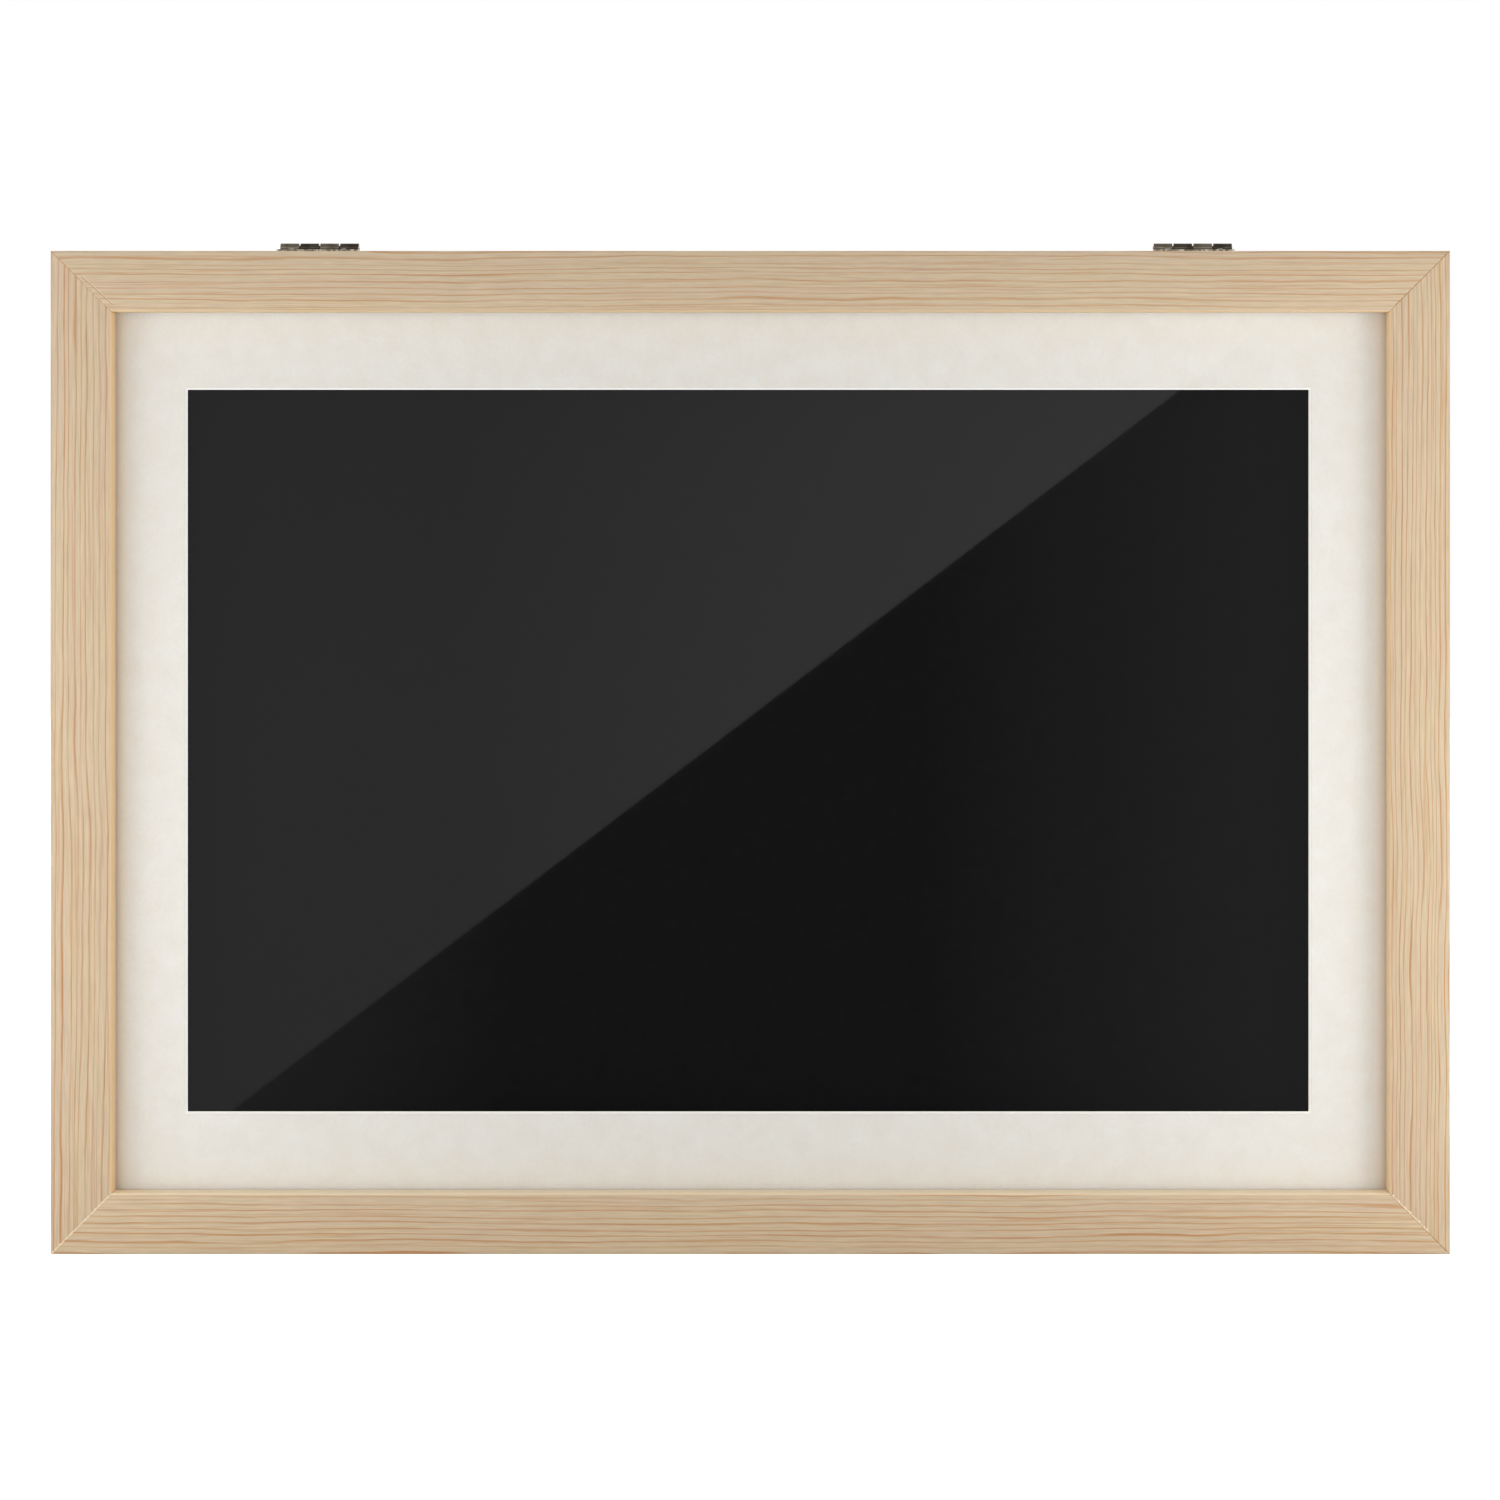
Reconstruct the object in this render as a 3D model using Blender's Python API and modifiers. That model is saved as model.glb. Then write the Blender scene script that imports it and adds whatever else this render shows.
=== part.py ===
"""A front-opening art frame.

A mitred door with glazing and a window mat hangs on two butt hinges from the top edge of a shallow
case. The case holds a stack of sheets in a black tray insert.

Run it with: blender --background --python part.py
Lengths are metres. X is the width, the front faces -Y and Z is up. The origin is on the surface that
the frame stands on, under the middle of its width and depth.
"""

import math

import bmesh
import bpy
from mathutils import Matrix, Vector

# Drawing paper that the frame is made for, and how the mat and the tray take it
PAPER_WIDTH = 0.4318
PAPER_HEIGHT = 0.2794
PAPER_OVERLAP = 0.0019
PAPER_CLEARANCE = 0.0021

# Gaps between pieces
FIT_GAP = 0.0002
MITRE_GAP = 0.0002
DOOR_GAP = 0.0004
SHEET_EDGE_GAP = 0.0005
CUT_OVERRUN = 0.001
WELD_DISTANCE = 0.000002

# Door moulding
DOOR_FACE_WIDTH = 0.023
DOOR_LIP_DEPTH = 0.010
DOOR_REBATE_WIDTH = 0.006
DOOR_REBATE_DEPTH = 0.007
FACE_ARRIS = 0.0008
BACK_ARRIS = 0.0004

# Glazing and window mat
GLAZING_THICKNESS = 0.002
SHEET_CORNER = 0.0006
MAT_THICKNESS = 0.0010
MAT_SIDE_BORDER = 0.028
MAT_TOP_BORDER = 0.0292
MAT_WINDOW_SHIFT = -0.0012
MAT_BEVEL_WIDTH = 0.0006

# Case moulding
CASE_DEPTH = 0.022
CASE_WALL = 0.016
CASE_REBATE_WIDTH = 0.006
CASE_REBATE_DEPTH = 0.006

# Back panel, black pad and tray insert
PANEL_THICKNESS = 0.003
PAD_THICKNESS = 0.005
INSERT_SETBACK = 0.0018
INSERT_EDGE_GAP = 0.0005
WELL_CORNER = 0.003

# Steel points that hold the sheets in both rebates
POINT_THICKNESS = 0.0005
POINT_WIDTH = 0.005
POINT_DRIVEN = 0.007
POINT_FREE = 0.008
POINT_TIP = 0.0025
POINT_CORNER = 0.0015
POINT_INSET = 0.060

# Hinges
HINGE_INSET = 0.098
HINGE_SHIFT = 0.0018
LEAF_LENGTH = 0.031
LEAF_REACH = 0.0105
LEAF_THICKNESS = 0.00085
LEAF_CORNER = 0.0012
KNUCKLE_LENGTH = 0.0071
KNUCKLE_GAP = 0.0005
PIN_RADIUS = 0.0009
PIN_CLEARANCE = 0.0001
PIN_DOME = 0.0003
NOTCH_CLEARANCE = 0.0003
CURL_CLEARANCE = 0.0003

# Hinge screws
SCREW_SPACING = 0.020
SCREW_REACH = 0.0064
SCREW_LENGTH = 0.0085
SCREW_TIP = 0.0025
SCREW_HEAD_RADIUS = 0.0018
SCREW_SHANK_RADIUS = 0.0009
SCREW_HEAD_LAND = 0.00012
SCREW_HEAD_DOME = 0.0003
RECESS_LENGTH = 0.0021
RECESS_WIDTH = 0.0005
RECESS_DEPTH = 0.0005

# Door catch
MAGNET_INSET = 0.075
MAGNET_RADIUS = 0.004
MAGNET_THICKNESS = 0.003
STRIKE_RADIUS = 0.004
STRIKE_THICKNESS = 0.0015
CATCH_CHAMFER = 0.0003

# Sawtooth hangers and their nails
HANGER_INSET = 0.115
HANGER_LENGTH = 0.045
HANGER_HEIGHT = 0.0085
HANGER_THICKNESS = 0.0007
HANGER_RISE = 0.0012
HANGER_CORNER = 0.0015
HANGER_FOOT = 0.0065
HANGER_RAMP = 0.003
TOOTH_PITCH = 0.002
TOOTH_DEPTH = 0.0012
NAIL_LENGTH = 0.008
NAIL_TIP = 0.002
NAIL_SHANK_RADIUS = 0.0006
NAIL_HEAD_RADIUS = 0.0015
NAIL_HEAD_THICKNESS = 0.0004

# Wall bumpers
BUMPER_RADIUS = 0.004
BUMPER_THICKNESS = 0.0019
BUMPER_CHAMFER = 0.0004
BUMPER_HEIGHT = 0.020

# Facets
ARRIS_STEPS = 3
CORNER_STEPS = 4
CURL_STEPS = 16
TURNED_STEPS = 16
HOLE_STEPS = 12
DISC_STEPS = 32
DOME_STEPS = 3
SHARP_DEGREES = 25
KNUCKLES = 4

# Outer size, built up from the paper outwards
MAT_WINDOW_WIDTH = PAPER_WIDTH - 2 * PAPER_OVERLAP
MAT_WINDOW_HEIGHT = PAPER_HEIGHT - 2 * PAPER_OVERLAP
FRAME_WIDTH = MAT_WINDOW_WIDTH + 2 * (MAT_SIDE_BORDER + DOOR_FACE_WIDTH)
FRAME_HEIGHT = MAT_WINDOW_HEIGHT + 2 * (MAT_TOP_BORDER + DOOR_FACE_WIDTH)

# Depths, measured backwards from the front plane
DOOR_DEPTH = DOOR_LIP_DEPTH + DOOR_REBATE_DEPTH
GLAZING_FRONT = DOOR_LIP_DEPTH + FIT_GAP
MAT_FRONT = GLAZING_FRONT + GLAZING_THICKNESS + FIT_GAP
DOOR_POINT_FRONT = MAT_FRONT + MAT_THICKNESS + FIT_GAP
CASE_FRONT = DOOR_DEPTH + DOOR_GAP
CASE_BACK = CASE_FRONT + CASE_DEPTH
PANEL_FRONT = CASE_BACK - CASE_REBATE_DEPTH + FIT_GAP
CASE_POINT_FRONT = PANEL_FRONT + PANEL_THICKNESS + FIT_GAP
PAD_FRONT = PANEL_FRONT - FIT_GAP - PAD_THICKNESS
INSERT_FRONT = CASE_FRONT + INSERT_SETBACK
INSERT_THICKNESS = PAD_FRONT - FIT_GAP - INSERT_FRONT
HANGER_FRONT = CASE_BACK + FIT_GAP
REAR_REACH = FIT_GAP + max(HANGER_RISE + HANGER_THICKNESS, BUMPER_THICKNESS)
TOTAL_DEPTH = CASE_BACK + REAR_REACH
FRONT_Y = -TOTAL_DEPTH / 2

# Hinge sizes that follow from the rest
CURL_RADIUS = PIN_RADIUS + PIN_CLEARANCE + LEAF_THICKNESS / 2
BARREL_RADIUS = CURL_RADIUS + LEAF_THICKNESS / 2
BARREL_LENGTH = KNUCKLES * KNUCKLE_LENGTH + (KNUCKLES - 1) * KNUCKLE_GAP
HINGE_AXIS = Vector((0, FRONT_Y + DOOR_DEPTH + DOOR_GAP / 2, FRAME_HEIGHT + FIT_GAP + BARREL_RADIUS))
LEAF_TOP = LEAF_THICKNESS / 2 - CURL_RADIUS
CURL_TURN = 2 * math.pi - math.acos(-(LEAF_TOP + CURL_CLEARANCE) / BARREL_RADIUS)

# Turn of each side's local frame about Y, in degrees
SIDE_TURNS = {"top": 90, "bottom": -90, "left": 0, "right": 180}


# Scene, collections and materials
for old in list(bpy.data.objects):
    bpy.data.objects.remove(old)

pieces = bpy.data.collections.new("childrens_art_frame")
cutters = bpy.data.collections.new("cutters")
for group in (pieces, cutters):
    bpy.context.scene.collection.children.link(group)


def material(name, colour, roughness, metallic=0, alpha=1):
    made = bpy.data.materials.new(name)
    made.use_nodes = True
    shader = made.node_tree.nodes["Principled BSDF"]
    shader.inputs["Base Color"].default_value = (*colour, 1)
    shader.inputs["Roughness"].default_value = roughness
    shader.inputs["Metallic"].default_value = metallic
    shader.inputs["Alpha"].default_value = alpha
    return made


WOOD = material("wood_grain_wrap", (0.66, 0.50, 0.32), 0.5)
GLAZING = material("clear_acrylic", (0.95, 0.97, 0.97), 0.05, alpha=0.25)
MAT_BOARD = material("cream_mat_board", (0.83, 0.79, 0.72), 0.9)
BLACK_FOAM = material("black_foam_board", (0.008, 0.008, 0.009), 0.8)
HARDBOARD = material("hardboard", (0.25, 0.15, 0.08), 0.7)
BRONZE = material("bronzed_steel", (0.16, 0.13, 0.10), 0.3, 1)
ZINC = material("zinc_plated_steel", (0.6, 0.6, 0.58), 0.35, 1)
NICKEL = material("nickel_plate", (0.7, 0.69, 0.66), 0.2, 1)
BRASS_PLATE = material("brass_plated_steel", (0.7, 0.5, 0.22), 0.3, 1)
FELT = material("grey_felt", (0.25, 0.25, 0.25), 0.95)


# Empties that carry the two bodies. The door's one lies on the hinge axis.
def carrier(name, location):
    empty = bpy.data.objects.new(name, None)
    pieces.objects.link(empty)
    empty.location = location
    return empty


case_carrier = carrier("case_carrier", Vector((0, 0, 0)))
door_carrier = carrier("door_hinge_axis", HINGE_AXIS)
door_carrier.parent = case_carrier


# Shared making steps
def weld(mesh):
    shell = bmesh.new()
    shell.from_mesh(mesh)
    bmesh.ops.remove_doubles(shell, verts=shell.verts, dist=WELD_DISTANCE)
    shell.to_mesh(mesh)
    shell.free()


def settled_mesh(shape):
    """The mesh that an object's modifiers or its curve make. The object itself is removed."""
    graph = bpy.context.evaluated_depsgraph_get()
    mesh = bpy.data.meshes.new_from_object(shape.evaluated_get(graph))
    bpy.data.objects.remove(shape)
    weld(mesh)
    return mesh


def linked(name, data, collection=pieces):
    shape = bpy.data.objects.new(name, data)
    collection.objects.link(shape)
    return shape


def outline_mesh(name, outlines, thickness):
    """Closed outlines in XY, filled between them and made thick along Z, about z = 0."""
    curve = bpy.data.curves.new(name, "CURVE")
    curve.dimensions = "2D"
    curve.fill_mode = "BOTH"
    curve.extrude = thickness / 2
    for outline in outlines:
        spline = curve.splines.new("POLY")
        spline.points.add(len(outline) - 1)
        for point, (x, y) in zip(spline.points, outline):
            point.co = (x, y, 0, 1)
        spline.use_cyclic_u = True
    return settled_mesh(linked(name, curve))


def turned_mesh(name, profile, steps=TURNED_STEPS):
    """A profile of (radius, height) points, from the top down its outer side, spun about Z."""
    mesh = bpy.data.meshes.new(name)
    points = [(radius, 0, height) for radius, height in profile]
    mesh.from_pydata(points, [(i, i + 1) for i in range(len(points) - 1)], [])
    shape = linked(name, mesh)
    spin = shape.modifiers.new("spin", "SCREW")
    spin.steps = steps
    spin.render_steps = steps
    spin.use_merge_vertices = True
    spin.merge_threshold = WELD_DISTANCE
    return settled_mesh(shape)


def box_mesh(name, low, high):
    """A box between two corners."""
    shell = bmesh.new()
    low, high = Vector(low), Vector(high)
    size = Matrix.Diagonal((*(high - low), 1))
    bmesh.ops.create_cube(shell, size=1, matrix=Matrix.Translation((low + high) / 2) @ size)
    mesh = bpy.data.meshes.new(name)
    shell.to_mesh(mesh)
    shell.free()
    return mesh


def rounded(corners, steps=CORNER_STEPS):
    """A closed outline through (x, y, radius) corners, each turned as an arc of its radius."""
    outline = []
    for index, (x, y, radius) in enumerate(corners):
        corner = Vector((x, y))
        following = corners[(index + 1) % len(corners)]
        back = (Vector(corners[index - 1][:2]) - corner).normalized()
        ahead = (Vector(following[:2]) - corner).normalized()
        if not radius:
            outline.append(corner)
            continue
        half = back.angle(ahead) / 2
        centre = corner + (back + ahead).normalized() * radius / math.sin(half)
        start = corner + back * radius / math.tan(half) - centre
        end = corner + ahead * radius / math.tan(half) - centre
        for step in range(steps + 1):
            spoke = start.normalized().slerp(end.normalized(), step / steps)
            outline.append(centre + spoke * radius)
    return outline


def rectangle(width, height, radius):
    """A rectangle about the origin with round corners."""
    across, up = width / 2, height / 2
    return rounded([(-across, -up, radius), (across, -up, radius), (across, up, radius), (-across, up, radius)])


def circle(x, y, radius, steps=HOLE_STEPS):
    turns = [2 * math.pi * step / steps for step in range(steps)]
    return [(x + radius * math.cos(turn), y + radius * math.sin(turn)) for turn in turns]


def turned_outline_mesh(name, outlines, thickness, axis, degrees):
    """An outline's mesh turned about an axis, so that its thickness lies another way."""
    mesh = outline_mesh(name, outlines, thickness)
    mesh.transform(Matrix.Rotation(math.radians(degrees), 4, axis))
    return mesh


def add(name, mesh, place, carried_by, finish):
    """A named piece of the frame, placed in the world and carried by an empty."""
    piece = linked(name, mesh)
    carry(piece, place, carried_by)
    if not mesh.materials:
        mesh.materials.append(finish)
    mesh.shade_smooth()
    mesh.set_sharp_from_angle(angle=math.radians(SHARP_DEGREES))
    return piece


def carry(piece, place, carried_by):
    world = door_carrier.location if carried_by == door_carrier else case_carrier.location
    piece.parent = carried_by
    piece.matrix_parent_inverse = Matrix.Translation(-world)
    piece.matrix_basis = place


planned_cuts = {}


def plan_cut(piece, tool, place):
    """Notes a hole that a piece gets. Its cutter's mesh is placed in the world, as the piece is."""
    planned_cuts.setdefault(piece.name, []).append((tool, place))


def cut(piece, tools):
    """Makes a piece's holes with one cutter, which is carried with it."""
    shell = bmesh.new()
    for tool, place in tools:
        placed = tool.copy()
        placed.transform(place)
        shell.from_mesh(placed)
        bpy.data.meshes.remove(placed)
    name = f"cut_{piece.name}"
    mesh = bpy.data.meshes.new(name)
    shell.to_mesh(mesh)
    shell.free()
    cutter = linked(name, mesh, cutters)
    cutter.hide_render = True
    cutter.display_type = "WIRE"
    carry(cutter, Matrix(), piece.parent)
    subtract(piece, cutter)


def subtract(piece, cutter):
    removal = piece.modifiers.new(cutter.name, "BOOLEAN")
    removal.operation = "DIFFERENCE"
    removal.solver = "EXACT"
    removal.object = cutter


def side_place(side, inset=0, depth=0, along=0):
    """A place on one side. Local X runs inwards from the outer edge, Y backwards and Z along it."""
    turn = Matrix.Rotation(math.radians(SIDE_TURNS[side]), 4, "Y")
    outwards = turn @ Vector((-1, 0, 0))
    edge = Vector((outwards.x * FRAME_WIDTH, 0, outwards.z * FRAME_HEIGHT)) / 2
    middle = Vector((0, FRONT_Y, FRAME_HEIGHT / 2))
    return Matrix.Translation(middle + edge) @ turn @ Matrix.Translation((inset, depth, along))


def side_length(side):
    return FRAME_WIDTH if side in ("top", "bottom") else FRAME_HEIGHT


def pair(inset):
    """The names and places across of two like pieces, each at inset from the frame's nearer side."""
    across = FRAME_WIDTH / 2 - inset
    return ("left", -across), ("right", across)


# Rails. A length of moulding is sawn at 45 degrees at both ends.
def saw_mitre(shell, end, normal):
    whole = shell.verts[:] + shell.edges[:] + shell.faces[:]
    sawn = bmesh.ops.bisect_plane(shell, geom=whole, plane_co=end, plane_no=normal, clear_outer=True)
    rim = [part for part in sawn["geom_cut"] if isinstance(part, bmesh.types.BMEdge)]
    bmesh.ops.contextual_create(shell, geom=rim)


def rail_mesh(name, section, length):
    mesh = outline_mesh(name, [section], length)
    shell = bmesh.new()
    shell.from_mesh(mesh)
    reach = length / 2 - MITRE_GAP * math.sqrt(1 / 2)
    for end in (-1, 1):
        saw_mitre(shell, (0, 0, end * reach), (1, 0, end))
    shell.to_mesh(mesh)
    shell.free()
    return mesh


door_section = rounded(
    [
        (0, 0, FACE_ARRIS),
        (DOOR_FACE_WIDTH, 0, FACE_ARRIS),
        (DOOR_FACE_WIDTH, DOOR_LIP_DEPTH, BACK_ARRIS),
        (DOOR_FACE_WIDTH - DOOR_REBATE_WIDTH, DOOR_LIP_DEPTH, 0),
        (DOOR_FACE_WIDTH - DOOR_REBATE_WIDTH, DOOR_DEPTH, BACK_ARRIS),
        (0, DOOR_DEPTH, BACK_ARRIS),
    ],
    ARRIS_STEPS,
)
rear_strip = CASE_WALL - CASE_REBATE_WIDTH
case_section = rounded(
    [
        (0, CASE_FRONT, BACK_ARRIS),
        (CASE_WALL, CASE_FRONT, BACK_ARRIS),
        (CASE_WALL, CASE_BACK - CASE_REBATE_DEPTH, BACK_ARRIS),
        (rear_strip, CASE_BACK - CASE_REBATE_DEPTH, 0),
        (rear_strip, CASE_BACK, BACK_ARRIS),
        (0, CASE_BACK, BACK_ARRIS),
    ],
    ARRIS_STEPS,
)
door_rails = {}
case_rails = {}
for side in SIDE_TURNS:
    for body, section, rails, carried_by in (
        ("door", door_section, door_rails, door_carrier),
        ("case", case_section, case_rails, case_carrier),
    ):
        rail_name = f"{body}_{side}_rail"
        sawn_rail = rail_mesh(rail_name, section, side_length(side))
        rails[side] = add(rail_name, sawn_rail, side_place(side), carried_by, WOOD)


# Sheets. Each is an upright outline, centred on the frame.
def sheet(name, outlines, front, thickness, carried_by, finish):
    mesh = turned_outline_mesh(name, outlines, thickness, "X", 90)
    place = Matrix.Translation((0, FRONT_Y + front + thickness / 2, FRAME_HEIGHT / 2))
    return add(name, mesh, place, carried_by, finish)


def sheet_outline(inset, edge_gap):
    """The outline of a sheet that fits an opening whose edges lie at inset from the frame's."""
    lost = 2 * (inset + edge_gap)
    return rectangle(FRAME_WIDTH - lost, FRAME_HEIGHT - lost, SHEET_CORNER)


door_rebate_inset = DOOR_FACE_WIDTH - DOOR_REBATE_WIDTH
door_sheet = sheet_outline(door_rebate_inset, SHEET_EDGE_GAP)
sheet("glazing_sheet", [door_sheet], GLAZING_FRONT, GLAZING_THICKNESS, door_carrier, GLAZING)
window_mat = sheet("window_mat", [door_sheet], MAT_FRONT, MAT_THICKNESS, door_carrier, MAT_BOARD)


def bevel_knife():
    """The solid that a bevelled window is cut with. It narrows from the mat's face to its back."""
    slope = MAT_BEVEL_WIDTH / MAT_THICKNESS
    reach = MAT_THICKNESS / 2 + CUT_OVERRUN
    mesh = box_mesh("cut_mat_window", (-1, -1, -1), (1, 1, 1))
    for corner in mesh.vertices:
        depth = corner.co.y * reach
        widening = slope * (MAT_THICKNESS / 2 - depth)
        corner.co.x *= MAT_WINDOW_WIDTH / 2 + widening
        corner.co.z *= MAT_WINDOW_HEIGHT / 2 + widening
        corner.co.y = depth
    return mesh


window_place = window_mat.matrix_basis @ Matrix.Translation((MAT_WINDOW_SHIFT, 0, 0))
plan_cut(window_mat, bevel_knife(), window_place)

panel_outline = sheet_outline(rear_strip, SHEET_EDGE_GAP)
sheet("back_panel", [panel_outline], PANEL_FRONT, PANEL_THICKNESS, case_carrier, HARDBOARD)
tray_outline = sheet_outline(CASE_WALL, INSERT_EDGE_GAP)
sheet("backing_pad", [tray_outline], PAD_FRONT, PAD_THICKNESS, case_carrier, BLACK_FOAM)
well = rectangle(
    PAPER_WIDTH + 2 * PAPER_CLEARANCE, PAPER_HEIGHT + 2 * PAPER_CLEARANCE, WELL_CORNER
)
sheet("tray_insert", [tray_outline, well], INSERT_FRONT, INSERT_THICKNESS, case_carrier, BLACK_FOAM)


# Steel points, pushed into the wood behind each stack of sheets
point_mesh = turned_outline_mesh(
    "steel_point",
    [
        rounded(
            [
                (-POINT_DRIVEN, 0, 0),
                (POINT_TIP - POINT_DRIVEN, -POINT_WIDTH / 2, 0),
                (POINT_FREE, -POINT_WIDTH / 2, POINT_CORNER),
                (POINT_FREE, POINT_WIDTH / 2, POINT_CORNER),
                (POINT_TIP - POINT_DRIVEN, POINT_WIDTH / 2, 0),
            ]
        )
    ],
    POINT_THICKNESS,
    "X",
    90,
)
slit_mesh = box_mesh(
    "slit",
    (-POINT_DRIVEN - FIT_GAP, -POINT_THICKNESS / 2 - FIT_GAP, -POINT_WIDTH / 2 - FIT_GAP),
    (CUT_OVERRUN, POINT_THICKNESS / 2 + FIT_GAP, POINT_WIDTH / 2 + FIT_GAP),
)
for body, rails, inset, front, carried_by in (
    ("door", door_rails, door_rebate_inset, DOOR_POINT_FRONT, door_carrier),
    ("panel", case_rails, rear_strip, CASE_POINT_FRONT, case_carrier),
):
    for side in SIDE_TURNS:
        for number, end in enumerate((-1, 1), 1):
            middle = front + POINT_THICKNESS / 2
            place = side_place(side, inset, middle, end * (side_length(side) / 2 - POINT_INSET))
            name = f"{body}_point_{side}_{number}"
            add(name, point_mesh, place, carried_by, ZINC)
            plan_cut(rails[side], slit_mesh, place)


# Hole for a hinge screw, countersunk and drilled through leaf and wood alike, with its clearance
SCREW_CONE = SCREW_HEAD_RADIUS - SCREW_SHANK_RADIUS
screw_hole = turned_mesh(
    "screw_hole",
    [
        (0, CUT_OVERRUN),
        (SCREW_HEAD_RADIUS + FIT_GAP + CUT_OVERRUN, CUT_OVERRUN),
        (SCREW_SHANK_RADIUS + FIT_GAP, -SCREW_CONE),
        (SCREW_SHANK_RADIUS + FIT_GAP, -SCREW_LENGTH - FIT_GAP),
        (0, -SCREW_LENGTH - FIT_GAP),
    ],
)


# Hinge leaf. A flat blank with two tabs is stamped out, and the tabs are rolled round the pin.
def leaf_blank():
    """The blank's outline. Y runs towards the pin from the leaf's free edge."""
    half = LEAF_LENGTH / 2
    notch = LEAF_REACH - BARREL_RADIUS - NOTCH_CLEARANCE
    tip = LEAF_REACH + CURL_RADIUS * CURL_TURN
    corners = [(half, 0, LEAF_CORNER), (half, notch, 0)]
    for knuckle in reversed(range(0, KNUCKLES, 2)):
        start = -BARREL_LENGTH / 2 + knuckle * (KNUCKLE_LENGTH + KNUCKLE_GAP)
        end = start + KNUCKLE_LENGTH
        corners += [(end, notch, 0), (end, tip, 0), (start, tip, 0), (start, notch, 0)]
    return rounded([*corners, (-half, notch, 0), (-half, 0, LEAF_CORNER)])


def rolled(point):
    """Where a point of the blank comes to lie, about the pin's axis."""
    past = point.y - LEAF_REACH
    turn = max(past, 0) / CURL_RADIUS
    return Vector((point.x, min(past, 0) + CURL_RADIUS * math.sin(turn), -CURL_RADIUS * math.cos(turn)))


def leaf_mesh():
    mesh = outline_mesh("leaf_blank", [leaf_blank()], 0)
    shell = bmesh.new()
    shell.from_mesh(mesh)
    for step in range(CURL_STEPS):
        line = (0, LEAF_REACH + CURL_RADIUS * CURL_TURN * step / CURL_STEPS, 0)
        whole = shell.verts[:] + shell.edges[:] + shell.faces[:]
        bmesh.ops.bisect_plane(shell, geom=whole, plane_co=line, plane_no=(0, 1, 0))
    for corner in shell.verts:
        corner.co = rolled(corner.co)
    shell.to_mesh(mesh)
    shell.free()
    leaf = linked("leaf", mesh)
    thicken = leaf.modifiers.new("thicken", "SOLIDIFY")
    thicken.thickness = LEAF_THICKNESS
    thicken.offset = 0
    thicken.use_even_offset = True
    drills = []
    for end in (-1, 1):
        drill = linked("countersink", screw_hole, cutters)
        drill.location = (end * SCREW_SPACING / 2, -SCREW_REACH, LEAF_TOP)
        subtract(leaf, drill)
        drills.append(drill)
    finished = settled_mesh(leaf)
    for drill in drills:
        bpy.data.objects.remove(drill)
    return finished


# Hinge screw. A raised countersunk head with a cross recess, on a plain shank.
def screw_mesh():
    dome = []
    for step in range(DOME_STEPS + 1):
        share = step / DOME_STEPS
        dome.append((SCREW_HEAD_RADIUS * share, SCREW_HEAD_LAND + SCREW_HEAD_DOME * (1 - share**2)))
    profile = [
        *dome,
        (SCREW_HEAD_RADIUS, 0),
        (SCREW_SHANK_RADIUS, -SCREW_CONE),
        (SCREW_SHANK_RADIUS, SCREW_TIP - SCREW_LENGTH),
        (0, -SCREW_LENGTH),
    ]
    screw = linked("screw", turned_mesh("screw", profile))
    crown = SCREW_HEAD_LAND + SCREW_HEAD_DOME
    slots = []
    for turn in (0, 90):
        slot = linked(
            "recess",
            box_mesh(
                "recess",
                (-RECESS_LENGTH / 2, -RECESS_WIDTH / 2, crown - RECESS_DEPTH),
                (RECESS_LENGTH / 2, RECESS_WIDTH / 2, crown + CUT_OVERRUN),
            ),
            cutters,
        )
        slot.rotation_euler = (0, 0, math.radians(turn))
        subtract(screw, slot)
        slots.append(slot)
    finished = settled_mesh(screw)
    for slot in slots:
        bpy.data.objects.remove(slot)
    return finished


# Hinge pin, with its ends peened to low domes
def pin_mesh():
    top = []
    for step in range(DOME_STEPS + 1):
        share = step / DOME_STEPS
        top.append((PIN_RADIUS * share, BARREL_LENGTH / 2 + PIN_DOME * (1 - share**2)))
    bottom = [(radius, -height) for radius, height in reversed(top)]
    mesh = turned_mesh("hinge_pin", top + bottom)
    mesh.transform(Matrix.Rotation(math.radians(90), 4, "Y"))
    return mesh


leaf_shape = leaf_mesh()
screw_shape = screw_mesh()
pin_shape = pin_mesh()
for hand, across in pair(HINGE_INSET):
    axis = Matrix.Translation(HINGE_AXIS + Vector((across + HINGE_SHIFT, 0, 0)))
    add(f"hinge_{hand}_pin", pin_shape, axis, case_carrier, BRONZE)
    for leaf_side, degrees, rail, carried_by in (
        ("front", 0, door_rails["top"], door_carrier),
        ("back", 180, case_rails["top"], case_carrier),
    ):
        place = axis @ Matrix.Rotation(math.radians(degrees), 4, "Z")
        add(f"hinge_{hand}_{leaf_side}_leaf", leaf_shape, place, carried_by, BRONZE)
        for number, end in enumerate((-1, 1), 1):
            seat = place @ Matrix.Translation((end * SCREW_SPACING / 2, -SCREW_REACH, LEAF_TOP))
            name = f"hinge_{hand}_{leaf_side}_screw_{number}"
            add(name, screw_shape, seat, carried_by, NICKEL)
            plan_cut(rail, screw_hole, seat)


# Door catch. Magnets in the case's bottom rail meet steel discs in the door's.
def disc_mesh(name, radius, thickness, chamfer):
    """A chamfered disc. Its face is at z = 0 and it goes down from there."""
    profile = [
        (0, 0),
        (radius - chamfer, 0),
        (radius, -chamfer),
        (radius, chamfer - thickness),
        (radius - chamfer, -thickness),
        (0, -thickness),
    ]
    return turned_mesh(name, profile, DISC_STEPS)


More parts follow.
